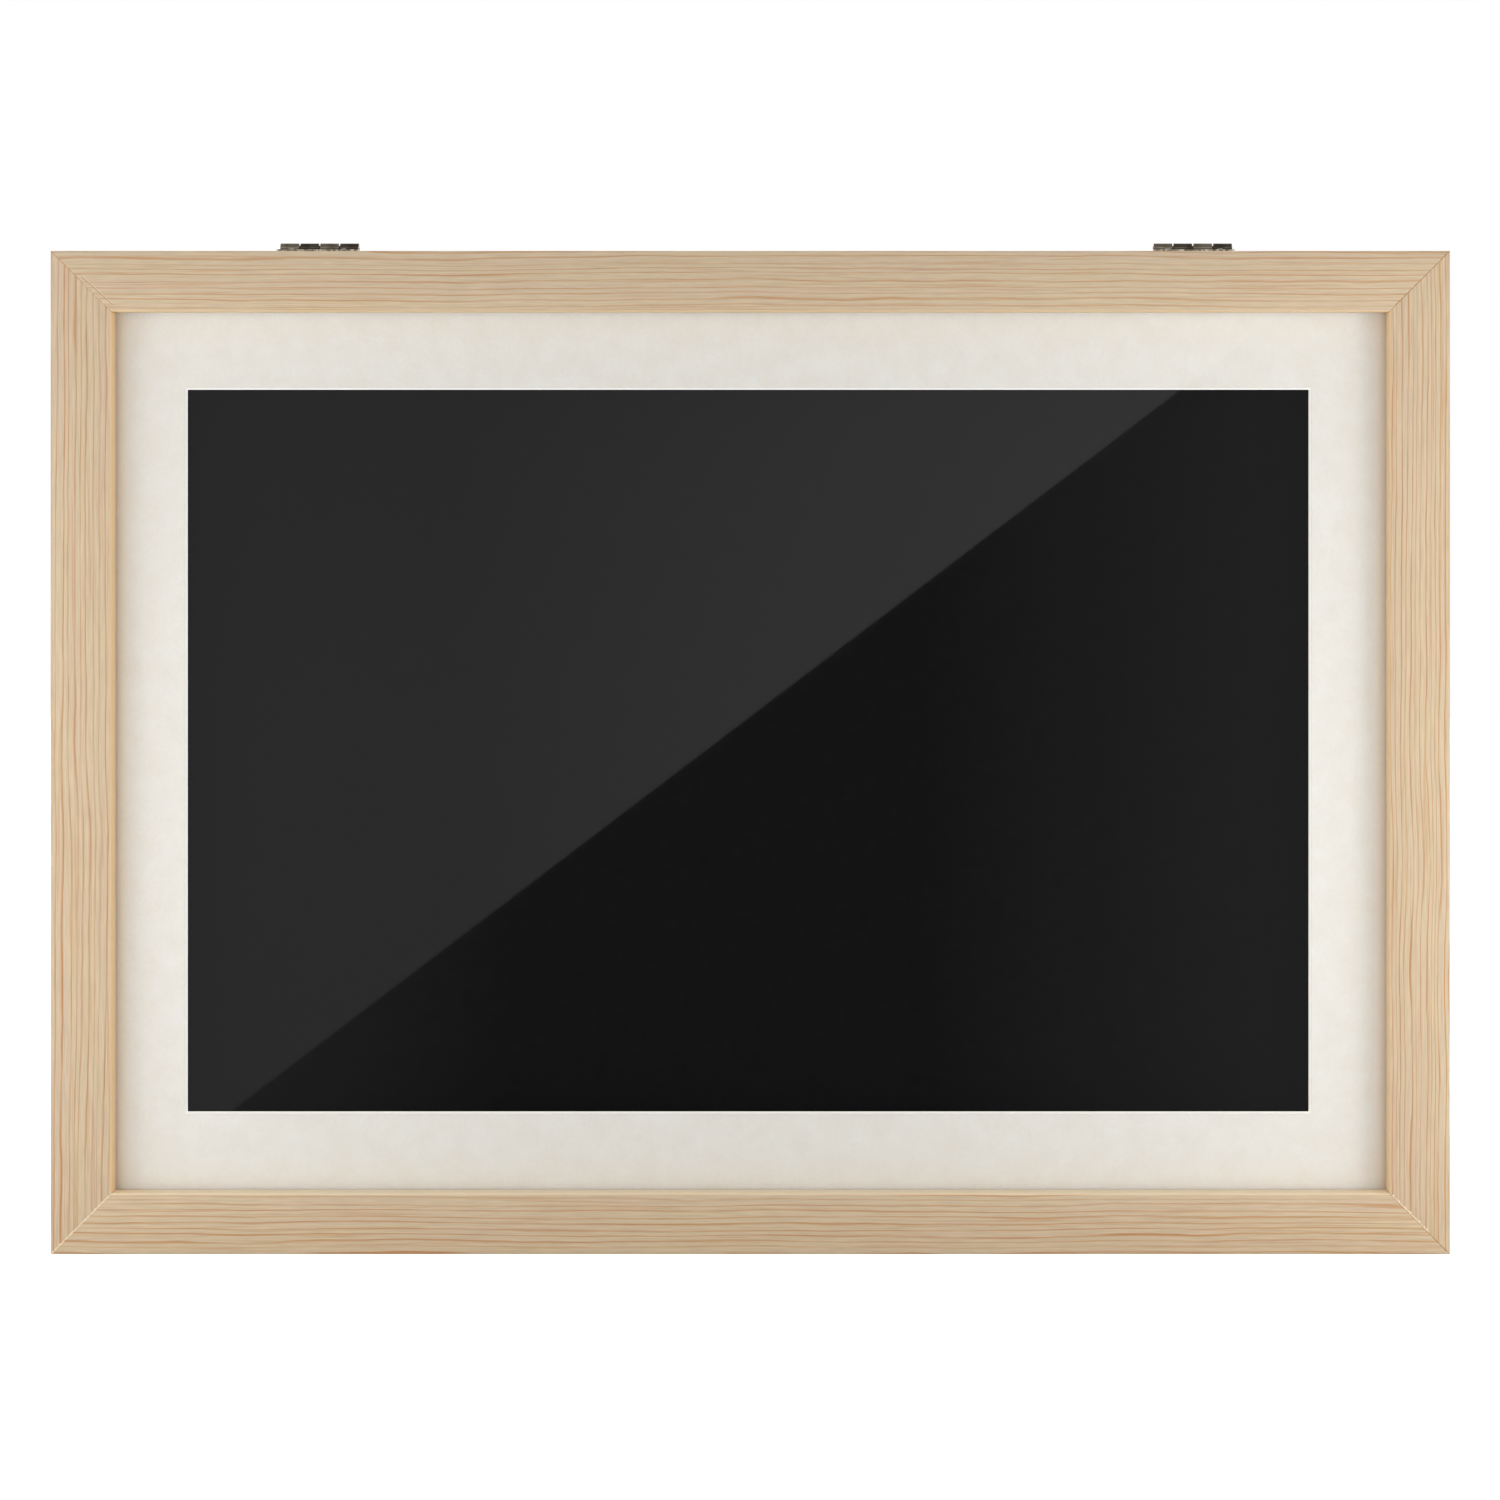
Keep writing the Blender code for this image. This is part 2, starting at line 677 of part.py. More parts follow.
def pocket_mesh(name, radius, thickness):
    """The pocket for a disc, with clearance round and behind it."""
    profile = [
        (0, CUT_OVERRUN),
        (radius + FIT_GAP, CUT_OVERRUN),
        (radius + FIT_GAP, -thickness - FIT_GAP),
        (0, -thickness - FIT_GAP),
    ]
    return turned_mesh(name, profile, DISC_STEPS)


magnet_shape = disc_mesh("magnet", MAGNET_RADIUS, MAGNET_THICKNESS, CATCH_CHAMFER)
strike_shape = disc_mesh("strike", STRIKE_RADIUS, STRIKE_THICKNESS, CATCH_CHAMFER)
magnet_pocket = pocket_mesh("magnet_pocket", MAGNET_RADIUS, MAGNET_THICKNESS)
strike_pocket = pocket_mesh("strike_pocket", STRIKE_RADIUS, STRIKE_THICKNESS)
forwards = Matrix.Rotation(math.radians(90), 4, "X")
backwards = Matrix.Rotation(math.radians(-90), 4, "X")
for hand, across in pair(MAGNET_INSET):
    for name, shape, pocket, depth, facing, rail, carried_by, finish in (
        ("magnet", magnet_shape, magnet_pocket, CASE_FRONT, forwards, case_rails, case_carrier, NICKEL),
        ("strike", strike_shape, strike_pocket, DOOR_DEPTH, backwards, door_rails, door_carrier, ZINC),
    ):
        place = Matrix.Translation((across, FRONT_Y + depth, CASE_WALL / 2)) @ facing
        add(f"{name}_{hand}", shape, place, carried_by, finish)
        plan_cut(rail["bottom"], pocket, place)


# Sawtooth hanger. A toothed blank is stamped out and pressed into a low bridge.
def hanger_blank():
    """The blank's outlines: its edge with the teeth pointing down, and two nail holes."""
    half, top = HANGER_LENGTH / 2, HANGER_HEIGHT / 2
    toothed = half - HANGER_FOOT - HANGER_RAMP
    teeth = math.floor(2 * toothed / TOOTH_PITCH)
    edge = [(-half, top, HANGER_CORNER), (-half, -top, HANGER_CORNER)]
    for tooth in range(teeth):
        start = (tooth - teeth / 2) * TOOTH_PITCH
        edge += [(start, TOOTH_DEPTH - top, 0), (start + TOOTH_PITCH / 2, -top, 0)]
    edge += [(teeth / 2 * TOOTH_PITCH, TOOTH_DEPTH - top, 0)]
    edge += [(half, -top, HANGER_CORNER), (half, top, HANGER_CORNER)]
    hole_radius = NAIL_SHANK_RADIUS + FIT_GAP
    holes = [circle(end * (half - HANGER_FOOT / 2), 0, hole_radius) for end in (-1, 1)]
    return [rounded(edge), *holes]


def hanger_mesh():
    mesh = outline_mesh("hanger_blank", hanger_blank(), 0)
    foot = HANGER_LENGTH / 2 - HANGER_FOOT
    shell = bmesh.new()
    shell.from_mesh(mesh)
    for fold in (foot, foot - HANGER_RAMP):
        for end in (-1, 1):
            whole = shell.verts[:] + shell.edges[:] + shell.faces[:]
            bmesh.ops.bisect_plane(shell, geom=whole, plane_co=(end * fold, 0, 0), plane_no=(1, 0, 0))
    for corner in shell.verts:
        climbed = (foot - abs(corner.co.x)) / HANGER_RAMP
        corner.co.z = -HANGER_RISE * min(max(climbed, 0), 1)
    shell.to_mesh(mesh)
    shell.free()
    mesh.transform(Matrix.Rotation(math.radians(90), 4, "X"))
    hanger = linked("hanger", mesh)
    thicken = hanger.modifiers.new("thicken", "SOLIDIFY")
    thicken.thickness = HANGER_THICKNESS
    thicken.offset = 0
    return settled_mesh(hanger)


nail_shape = turned_mesh(
    "hanger_nail",
    [
        (0, NAIL_HEAD_THICKNESS),
        (NAIL_HEAD_RADIUS, NAIL_HEAD_THICKNESS),
        (NAIL_HEAD_RADIUS, 0),
        (NAIL_SHANK_RADIUS, 0),
        (NAIL_SHANK_RADIUS, NAIL_TIP - NAIL_LENGTH),
        (0, -NAIL_LENGTH),
    ],
    HOLE_STEPS,
)
nail_hole = turned_mesh(
    "nail_hole",
    [
        (0, CUT_OVERRUN),
        (NAIL_SHANK_RADIUS + FIT_GAP, CUT_OVERRUN),
        (NAIL_SHANK_RADIUS + FIT_GAP, -NAIL_LENGTH - FIT_GAP),
        (0, -NAIL_LENGTH - FIT_GAP),
    ],
    HOLE_STEPS,
)
hanger_shape = hanger_mesh()
strip_middle = rear_strip / 2
for hand, across in pair(HANGER_INSET):
    hanger_name = f"hanger_{hand}"
    centre = side_place("top", strip_middle).translation + Vector((across, HANGER_FRONT, 0))
    place = Matrix.Translation(centre + Vector((0, HANGER_THICKNESS / 2, 0)))
    add(hanger_name, hanger_shape, place, case_carrier, BRASS_PLATE)
    for number, end in enumerate((-1, 1), 1):
        reach = end * (HANGER_LENGTH - HANGER_FOOT) / 2
        head = centre + Vector((reach, HANGER_THICKNESS + FIT_GAP, 0))
        place = Matrix.Translation(head) @ backwards
        name = f"{hanger_name}_nail_{number}"
        add(name, nail_shape, place, case_carrier, ZINC)
        plan_cut(case_rails["top"], nail_hole, place)


# Wall bumpers, glued on the back of the side rails near their lower ends
bumper_shape = disc_mesh("wall_bumper", BUMPER_RADIUS, BUMPER_THICKNESS, BUMPER_CHAMFER)
for side in ("left", "right"):
    corner = side_place(side, strip_middle).translation
    face = Vector((corner.x, FRONT_Y + HANGER_FRONT + BUMPER_THICKNESS, BUMPER_HEIGHT))
    place = Matrix.Translation(face) @ backwards
    add(f"wall_bumper_{side}", bumper_shape, place, case_carrier, FELT)


# The planned holes, each piece's cut in one go
for name, tools in planned_cuts.items():
    cut(bpy.data.objects[name], tools)
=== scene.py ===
"""Looks of a front-opening art frame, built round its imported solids.

Lengths are metres in the frame of the solids: X is the width, the front faces -Y and Z is up.
"""
import math

import bmesh
import bpy
from mathutils import Matrix, Vector


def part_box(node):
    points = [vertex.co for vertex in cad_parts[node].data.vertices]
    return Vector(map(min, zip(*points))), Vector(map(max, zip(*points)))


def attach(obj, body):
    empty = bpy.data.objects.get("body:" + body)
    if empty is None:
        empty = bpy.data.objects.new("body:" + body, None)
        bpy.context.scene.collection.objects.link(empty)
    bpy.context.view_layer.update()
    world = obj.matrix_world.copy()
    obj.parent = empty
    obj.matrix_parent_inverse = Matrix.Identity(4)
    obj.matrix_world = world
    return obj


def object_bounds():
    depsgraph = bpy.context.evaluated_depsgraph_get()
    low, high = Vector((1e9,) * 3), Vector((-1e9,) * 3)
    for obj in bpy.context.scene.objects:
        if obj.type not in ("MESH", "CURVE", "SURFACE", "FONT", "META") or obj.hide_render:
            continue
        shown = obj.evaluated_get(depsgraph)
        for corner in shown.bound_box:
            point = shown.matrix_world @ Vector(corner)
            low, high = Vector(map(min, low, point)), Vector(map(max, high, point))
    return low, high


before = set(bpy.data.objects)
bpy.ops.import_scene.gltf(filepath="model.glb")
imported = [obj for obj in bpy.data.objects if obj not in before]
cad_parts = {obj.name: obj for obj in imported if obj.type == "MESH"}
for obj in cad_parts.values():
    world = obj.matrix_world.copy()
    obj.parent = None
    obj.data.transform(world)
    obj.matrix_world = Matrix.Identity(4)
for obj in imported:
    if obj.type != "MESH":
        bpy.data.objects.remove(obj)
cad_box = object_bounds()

# Door rails. Four lengths of moulding, milled from MDF and wrapped in a foil that is printed as
# straight softwood grain. They are sawn at 45 degrees, glued, and held by wedges from behind.
MM = 0.001
FACE_WIDTH_MM = 23
RING_PITCH_MM = 1.82
RING_TILT = math.radians(38)
WAVE_MM = 3.0
RIPPLE_MM = 0.5
RING_SPREAD = 1.6
VEINS_PER_MM = 1.1
# Sizes of the print's patterns in millimetres: along the rail, across it and into it
WAVE_SIZE = (75, 60, 60)
RIPPLE_SIZE = (17, 9, 9)
SPREAD_SIZE = (260, 4, 4)
CLOUD_SIZE = (130, 6, 6)
VEIN_SIZE = (60, 1 / VEINS_PER_MM, 1 / VEINS_PER_MM)
FADE_SIZE = (42, 1, 1)
FADE_ROW_STEP = 37
# Wood fibre is finer than this. It is drawn as coarse as it needs to show
FIBRE_SIZE = (11, 0.55, 0.55)
# Where a latewood line begins and ends, as shares of a ring, and how weak it may get
LINE_RISE = (0.56, 0.84)
LINE_RISE_POWER = 1.3
LINE_FALL = (0.88, 0.98)
LINE_FADED = (0.3, 0.58, 0.48, 1)
LINE_WEAKEST = 0.45
VEIN_SHOWS = (0.56, 0.72, 0, 0.4)
FIBRE_SHADE = (0.93, 1.06)
# The foil is embossed: the lines lie lower than the fibre
LINE_SINK = -0.6
FOIL_ROUGHNESS = (0.46, 0.56)
# The lip's colour is painted light, lighter than the face and set per side. It starts within these
# distances of the inner edge
LIP_START_MM = (0.6, 0.1)
LIP_STRENGTH = 0.95
# A sawn edge is as wide as given where it is chipped most, and this share of it where least
CHIP_SIZE_MM = 1 / 0.9
CHIP_LEAST = 0.3
# The parts of a noise's range that most and nearly all of it falls in
MOST_NOISE = (0.35, 0.65)
ALL_NOISE = (0.3, 0.7)
EARLYWOOD_YELLOW = "#D0BB9B"
EARLYWOOD_PINK = "#CFB89B"
LATEWOOD = "#BE8751"
# Lip colours per side, painted light: lighter than the face where the lip catches the light
LIP_PAINTED_LIT = "#FFEAC6"
LIP_PAINTED_WARM = "#FAD5A4"
LIP_PAINTED_TOP = "#E2C59A"
RAW_EDGE = "#E6D5B6"
SAWN_BROWN = "#8A6036"
SPLIT_BROWN = "#B47C47"
SPLIT_WIDTH = 0.13
# The crack and its raw edge: how far aside, the colour and the strength
SPLIT_LINES = ((0, SPLIT_BROWN, 0.9), (-2 * SPLIT_WIDTH, RAW_EDGE, 0.6))
OUTER_LOW = Vector((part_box("door_left_rail")[0].x, cad_box[0].y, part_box("door_bottom_rail")[0].z))
OUTER_HIGH = Vector((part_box("door_right_rail")[1].x, cad_box[1].y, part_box("door_top_rail")[1].z))
# Edges sharper than this stay crisp, and points nearer than this are one
SHARP_ANGLE = math.radians(36)
SAME_POINT = 0.001 * MM


def linear(colour):
    """An sRGB hex colour as the linear one that a socket takes."""
    levels = [int(colour[place : place + 2], 16) / 255 for place in (1, 3, 5)]
    curved = [
        level / 12.92 if level <= 0.04045 else ((level + 0.055) / 1.055) ** 2.4 for level in levels
    ]
    return (*curved, 1)


def add(tree, kind, *values, **settings):
    """Adds a node with its settings and links.

    Plain values fill its sockets in turn, a name with a capital is a socket, the rest are properties.
    """
    made = tree.nodes.new(kind if "Node" in kind else f"ShaderNode{kind}")
    for name, setting in settings.items():
        if name[0].islower():
            setattr(made, name, setting)
    fed = list(zip([socket for socket in made.inputs if socket.enabled], values))
    for name, setting in settings.items():
        if name[0].isupper():
            fed.append((made.inputs[name.replace("_", " ")], setting))
    for socket, value in fed:
        if isinstance(value, bpy.types.Node):
            value = next(output for output in value.outputs if output.enabled)
        if isinstance(value, bpy.types.NodeSocket):
            tree.links.new(value, socket)
        else:
            socket.default_value = value
    return made


def new_material(name):
    """A material with an empty node tree."""
    made = bpy.data.materials.new(name)
    made.use_nodes = True
    made.node_tree.nodes.clear()
    return made, made.node_tree


def smooth_curves():
    """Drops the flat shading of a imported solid. Only edges sharper than SHARP_ANGLE still show."""
    tree = bpy.data.node_groups.new("smooth_curves", "GeometryNodeTree")
    for way in ("INPUT", "OUTPUT"):
        tree.interface.new_socket("Geometry", in_out=way, socket_type="NodeSocketGeometry")
    solid = add(tree, "GeometryNodeRemoveAttribute", add(tree, "NodeGroupInput"), Name="custom_normal")
    solid = add(tree, "GeometryNodeMergeByDistance", solid, Distance=SAME_POINT)
    bend = add(tree, "GeometryNodeInputMeshEdgeAngle")
    curved = add(tree, "ShaderNodeMath", bend, SHARP_ANGLE, operation="LESS_THAN")
    solid = add(tree, "GeometryNodeSetShadeSmooth", solid, domain="FACE")
    solid = add(tree, "GeometryNodeSetShadeSmooth", solid, Shade_Smooth=curved, domain="EDGE")
    add(tree, "NodeGroupOutput", solid)
    return tree


smoothing = smooth_curves()


def dress(node_name, material, arris=0):
    """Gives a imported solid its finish. arris is how far its sharp edges are rounded off."""
    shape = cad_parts[node_name]
    shape.data.materials.clear()
    shape.data.materials.append(material)
    shape.modifiers.new("smooth_curves", "NODES").node_group = smoothing
    if arris:
        soft = shape.modifiers.new("arris", "BEVEL")
        soft.width, soft.segments, soft.harden_normals = arris, 2, True
        soft.angle_limit = SHARP_ANGLE
    return shape


# Which way each rail runs, which way its width is measured, and from which outer edge
SIDES = {
    "top": ("X", "Z", -1, OUTER_HIGH.z),
    "bottom": ("X", "Z", 1, OUTER_LOW.z),
    "left": ("Z", "X", 1, OUTER_LOW.x),
    "right": ("Z", "X", -1, OUTER_HIGH.x),
}


def rail_places(tree, side):
    """Places on a rail in millimetres: along it, in from its outer edge, and back from the front."""
    run, across, inwards, edge = SIDES[side]
    start = OUTER_LOW.x if run == "X" else OUTER_LOW.z
    place = add(tree, "SeparateXYZ", add(tree, "TexCoord").outputs["Object"])
    along = add(tree, "Math", place.outputs[run], 1 / MM, -start / MM, operation="MULTIPLY_ADD")
    inset = add(
        tree, "Math", place.outputs[across], inwards / MM, -inwards * edge / MM,
        operation="MULTIPLY_ADD",
    )
    depth = add(tree, "Math", place.outputs["Y"], 1 / MM, -OUTER_LOW.y / MM, operation="MULTIPLY_ADD")
    return along, inset, depth


def drawn_out(tree, place, shift, size, detail=1):
    """A noise drawn out along the grain, whose patches have the given size in millimetres."""
    scaled = add(tree, "Mapping", place, shift, (0, 0, 0), tuple(1 / extent for extent in size))
    return add(tree, "TexNoise", scaled, Scale=1, Detail=detail)


def grain_foil(name, side, seed, pitch, contrast, brightness, lip_painted_light, ends, split=None):
    """Foil printed as softwood: thin orange latewood lines, soft on one side, in a pale ground.

    ends gives, for the low and the high end, the colour of the sawn edge, how wide it shows and between
    which insets, all in millimetres. split is a crack's start (along, inset), its turn and its length.
    """
    made, tree = new_material(name)
    along, inset, depth = rail_places(tree, side)
    place = add(tree, "CombineXYZ", along, inset, depth)
    shift = (seed * 13.7, seed * 5.3, seed * 2.9)
    wave = drawn_out(tree, place, shift, WAVE_SIZE)
    ripple = drawn_out(tree, place, shift, RIPPLE_SIZE)
    spread = drawn_out(tree, place, shift, SPREAD_SIZE)
    ring = add(tree, "Math", inset, math.cos(RING_TILT) / pitch, seed, operation="MULTIPLY_ADD")
    ring = add(tree, "Math", depth, math.sin(RING_TILT) / pitch, ring, operation="MULTIPLY_ADD")
    ring = add(tree, "Math", wave, WAVE_MM / pitch, ring, operation="MULTIPLY_ADD")
    ring = add(tree, "Math", ripple, RIPPLE_MM / pitch, ring, operation="MULTIPLY_ADD")
    ring = add(tree, "Math", spread, RING_SPREAD, ring, operation="MULTIPLY_ADD")
    number = add(tree, "Math", ring, operation="FLOOR")
    share = add(tree, "Math", ring, operation="FRACT")
    rise = add(tree, "MapRange", share, *LINE_RISE, 0, 1, interpolation_type="SMOOTHSTEP")
    rise = add(tree, "Math", rise, LINE_RISE_POWER, operation="POWER")
    fall = add(tree, "MapRange", share, *LINE_FALL, 1, 0, interpolation_type="SMOOTHSTEP")
    line = add(tree, "Math", rise, fall, operation="MULTIPLY")
    row = add(tree, "Math", number, FADE_ROW_STEP, operation="MULTIPLY")
    row = add(tree, "CombineXYZ", along, row, shift[0])
    fade = drawn_out(tree, row, (0, 0, 0), FADE_SIZE)
    fade = add(tree, "MapRange", fade, *LINE_FADED)
    own = add(tree, "TexWhiteNoise", W=number, noise_dimensions="1D")
    own = add(tree, "MapRange", own, 0, 1, LINE_WEAKEST, 1)
    strength = add(tree, "Math", fade, own, operation="MULTIPLY")
    line = add(tree, "Math", line, strength, operation="MULTIPLY")
    line = add(tree, "Math", line, contrast, operation="MULTIPLY")
    cloud = add(tree, "MapRange", drawn_out(tree, place, shift, CLOUD_SIZE, 2), *MOST_NOISE)
    ground = add(
        tree, "Mix", cloud, linear(EARLYWOOD_YELLOW), linear(EARLYWOOD_PINK), data_type="RGBA"
    )
    vein = drawn_out(tree, place, shift, VEIN_SIZE)
    vein = add(tree, "MapRange", vein, *VEIN_SHOWS)
    line = add(tree, "Math", line, vein, operation="MAXIMUM")
    colour = add(tree, "Mix", line, ground, linear(LATEWOOD), data_type="RGBA")
    fibre = drawn_out(tree, place, shift, FIBRE_SIZE, 4)
    shades = [shade * brightness for shade in FIBRE_SHADE]
    streak = add(tree, "MapRange", fibre, *MOST_NOISE, *shades)
    colour = add(tree, "Mix", 1, colour, streak, data_type="RGBA", blend_type="MULTIPLY")
    # The lip gets its side's painted light
    lip_start = [FACE_WIDTH_MM - reach for reach in LIP_START_MM]
    lip = add(tree, "MapRange", inset, *lip_start, 0, LIP_STRENGTH)
    colour = add(tree, "Mix", lip, colour, linear(lip_painted_light), data_type="RGBA")
    chips = add(tree, "TexNoise", place, Scale=1 / CHIP_SIZE_MM, Detail=2)
    size = OUTER_HIGH - OUTER_LOW
    length = (size.x if SIDES[side][0] == "X" else size.z) / MM
    other_end = add(tree, "Math", length, along, operation="SUBTRACT")
    for end, (edge_colour, wide, start, stop) in zip((along, other_end), ends):
        away = add(tree, "Math", end, inset, operation="SUBTRACT")
        away = add(tree, "Math", away, math.sqrt(0.5), operation="MULTIPLY")
        reach = add(tree, "MapRange", chips, 0.4, 0.6, wide * CHIP_LEAST, wide)
        edge = add(tree, "Math", away, reach, operation="LESS_THAN")
        begun = add(tree, "Math", inset, start, operation="GREATER_THAN")
        ended = add(tree, "Math", inset, stop, operation="LESS_THAN")
        within = add(tree, "Math", begun, ended, operation="MULTIPLY")
        edge = add(tree, "Math", edge, within, operation="MULTIPLY")
        colour = add(tree, "Mix", edge, colour, linear(edge_colour), data_type="RGBA")
    if split:
        (start, stop), turn, crack = split
        local = add(tree, "Mapping", place, (start, stop, 0), (0, 0, turn), vector_type="TEXTURE")
        local = add(tree, "VectorMath", local, (1, 1, 0), operation="MULTIPLY")
        local = add(tree, "SeparateXYZ", local)
        within = add(tree, "Math", local.outputs["X"], crack / 2, crack / 2, operation="COMPARE")
        for offset, shade, strength in SPLIT_LINES:
            near = add(tree, "Math", local.outputs["Y"], offset, SPLIT_WIDTH, operation="COMPARE")
            near = add(tree, "Math", near, strength, operation="MULTIPLY")
            near = add(tree, "Math", near, within, operation="MULTIPLY")
            colour = add(tree, "Mix", near, colour, linear(shade), data_type="RGBA")
    height = add(tree, "Math", line, LINE_SINK, fibre, operation="MULTIPLY_ADD")
    relief = add(tree, "Bump", Strength=0.35, Distance=0.05 * MM, Height=height)
    gloss = add(tree, "MapRange", fibre, *ALL_NOISE, *FOIL_ROUGHNESS)
    shader = add(tree, "BsdfPrincipled", Base_Color=colour, Roughness=gloss, Normal=relief)
    add(tree, "OutputMaterial", Surface=shader)
    return made


CLEAN_END = (SAWN_BROWN, 0.12, 0, FACE_WIDTH_MM)
DOOR_FOILS = {
    "top": dict(
        seed=1, pitch=RING_PITCH_MM, contrast=0.85, brightness=1.0, lip_painted_light=LIP_PAINTED_TOP,
        ends=[(RAW_EDGE, 0.3, 11, 22), (SAWN_BROWN, 0.3, 0, 21)],
        split=((11.9, 9.8), math.radians(42), 16.1),
    ),
    "bottom": dict(
        seed=2, pitch=RING_PITCH_MM, contrast=1.0, brightness=1.0, lip_painted_light=LIP_PAINTED_LIT,
        ends=[(RAW_EDGE, 0.3, 0, 22), (SAWN_BROWN, 0.3, 0, 9)],
    ),
    "left": dict(
        seed=3, pitch=RING_PITCH_MM, contrast=1.05, brightness=0.97, lip_painted_light=LIP_PAINTED_WARM,
        ends=[(RAW_EDGE, 0.35, 0, 22), CLEAN_END],
    ),
    "right": dict(
        seed=4, pitch=RING_PITCH_MM * 0.81, contrast=1.1, brightness=0.965, lip_painted_light=LIP_PAINTED_WARM,
        ends=[(RAW_EDGE, 0.9, 8, 22), CLEAN_END],
    ),
}
for side, settings in DOOR_FOILS.items():
    foil = grain_foil(f"softwood_print_foil_door_{side}", side, **settings)
    dress(f"door_{side}_rail", foil)

# Mitre joints of the door. The glue line is a thread of brown that stands just under the face, and the
# lower left joint, which the saw left open, is stopped with pale filler.
JOINT_THICKNESS = 0.196 * MM
# In millimetres: how far it stands under the faces, how deep it goes back, and where its outline
# keeps inside a rail's rounded edge, halfway round and at its start
JOINT_SINK_MM = 0.03
JOINT_BACK_MM = 9.5
JOINT_NICK_MM = 0.26
JOINT_ROUND_MM = 0.8
GRIT_SIZE = 0.6 * MM
FILLER = "#E9DABD"
GLUE = "#B48A5C"


def matt_paste(name, colour):
    """Glue or filler that has dried: matt, slightly grainy, in one plain colour."""
    made, tree = new_material(name)
    places = add(tree, "TexCoord").outputs["Object"]
    grit = add(tree, "TexNoise", places, Scale=1 / GRIT_SIZE, Detail=2)
    shade = add(tree, "MapRange", grit, *ALL_NOISE, 0.85, 1.1)
    colour = add(tree, "Mix", 1, linear(colour), shade, data_type="RGBA", blend_type="MULTIPLY")
    relief = add(tree, "Bump", Strength=0.4, Distance=0.05 * MM, Height=grit)
    shader = add(tree, "BsdfPrincipled", Base_Color=colour, Roughness=0.8, Normal=relief)
    add(tree, "OutputMaterial", Surface=shader)
    return made


def placed(name, data):
    """A new object in the scene, from its mesh, lamp or camera."""
    made = bpy.data.objects.new(name, data)
    bpy.context.scene.collection.objects.link(made)
    return made


def joined(name, mesh, material, body):
    """A piece that the scene adds, on the body that carries it."""
    mesh.materials.append(material)
    piece = placed(name, mesh)
    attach(piece, body)
    return piece


def thickened(name, shell, faces, reach):
    """The mesh of flat faces that are made thick along Z."""
    grown = bmesh.ops.extrude_face_region(shell, geom=faces)["geom"]
    moved = [part for part in grown if isinstance(part, bmesh.types.BMVert)]
    bmesh.ops.translate(shell, verts=moved, vec=(0, 0, reach))
    bmesh.ops.recalc_face_normals(shell, faces=shell.faces[:])
    mesh = bpy.data.meshes.new(name)
    shell.to_mesh(mesh)
    shell.free()
    return mesh


def slab(name, outline, place, thickness):
    """A flat outline of (x, y) points, made thick along Z and placed."""
    shell = bmesh.new()
    face = shell.faces.new([shell.verts.new((x, y, -thickness / 2)) for x, y in outline])
    mesh = thickened(name, shell, [face], thickness)
    mesh.transform(place)
    return mesh


def mitre_place(across, up):
    """A corner's frame: X in along the mitre, measured across the rail, Y back and Z over the joint."""
    corner_x = OUTER_LOW.x if across < 0 else OUTER_HIGH.x
    corner_z = OUTER_LOW.z if up < 0 else OUTER_HIGH.z
    corner = Vector((corner_x, OUTER_LOW.y, corner_z))
    inwards, back = Vector((-across, 0, -up)), Vector((0, 1, 0))
    over = inwards.cross(back).normalized()
    return Matrix.Translation(corner) @ Matrix((inwards, back, over)).transposed().to_4x4()


low, high = JOINT_SINK_MM, FACE_WIDTH_MM - JOINT_SINK_MM
joint_outline = [
    (low, JOINT_ROUND_MM), (JOINT_NICK_MM, JOINT_NICK_MM), (JOINT_ROUND_MM, low),
    (FACE_WIDTH_MM - JOINT_ROUND_MM, low), (FACE_WIDTH_MM - JOINT_NICK_MM, JOINT_NICK_MM),
    (high, JOINT_ROUND_MM), (high, JOINT_BACK_MM), (low, JOINT_BACK_MM),
]
glue, filler = matt_paste("dried_wood_glue", GLUE), matt_paste("pale_wood_filler", FILLER)
CORNERS = {
    "lower_left": (-1, -1), "lower_right": (1, -1), "upper_left": (-1, 1), "upper_right": (1, 1),
}
for corner, (across, up) in CORNERS.items():
    name = f"mitre_joint_{corner}"
    outline = [(x * MM, y * MM) for x, y in joint_outline]
    mesh = slab(name, outline, mitre_place(across, up), JOINT_THICKNESS)
    joined(name, mesh, filler if corner == "lower_left" else glue, "door")

# Glazing. A 2 mm sheet of clear cast acrylic, cut to the door's rebate. It is glossy on both faces and
# lets nearly all light through, with a faint sheen that grows towards grazing angles.
ACRYLIC_IOR = 1.49
# What both faces reflect, as a multiple of one: a little of the second is lost on the way
BOTH_FACES = 1.9


def clear_acrylic():
    """Clear acrylic. Its two faces reflect together, on the side that is looked at."""
    made, tree = new_material("clear_cast_acrylic")
    single = add(tree, "Fresnel", ACRYLIC_IOR)
    double = add(tree, "Math", single, BOTH_FACES, operation="MULTIPLY")
    front = add(tree, "Math", 1, add(tree, "NewGeometry").outputs["Backfacing"], operation="SUBTRACT")
    share = add(tree, "Math", double, front, operation="MULTIPLY", use_clamp=True)
    through = add(tree, "BsdfTransparent")
    gloss = add(tree, "BsdfAnisotropic", Roughness=0.015)
    add(tree, "OutputMaterial", Surface=add(tree, "MixShader", share, through, gloss))
    return made


dress("glazing_sheet", clear_acrylic())

# Window mat. One sheet of cream mat board, 1 mm thick, with its window cut by a slanted blade, so
# that a thin line of the board's white core shows all round it. It lies behind the glazing.
MAT_FACE = "#F2F0EA"
MAT_FACE_WARM = "#F0ECE4"
MAT_PAINTED_WARM_SHADE = "#F2E3CE"
MAT_CORE = "#FFFDF6"
# How much the cut core glows, as painted light
CORE_PAINTED_GLOW = 0.38
MAT_CLOUD_SIZE = 9 * MM
# A real tooth is about 0.3 mm. It is drawn coarser, to show in the render
TOOTH_SIZE = 0.8 * MM
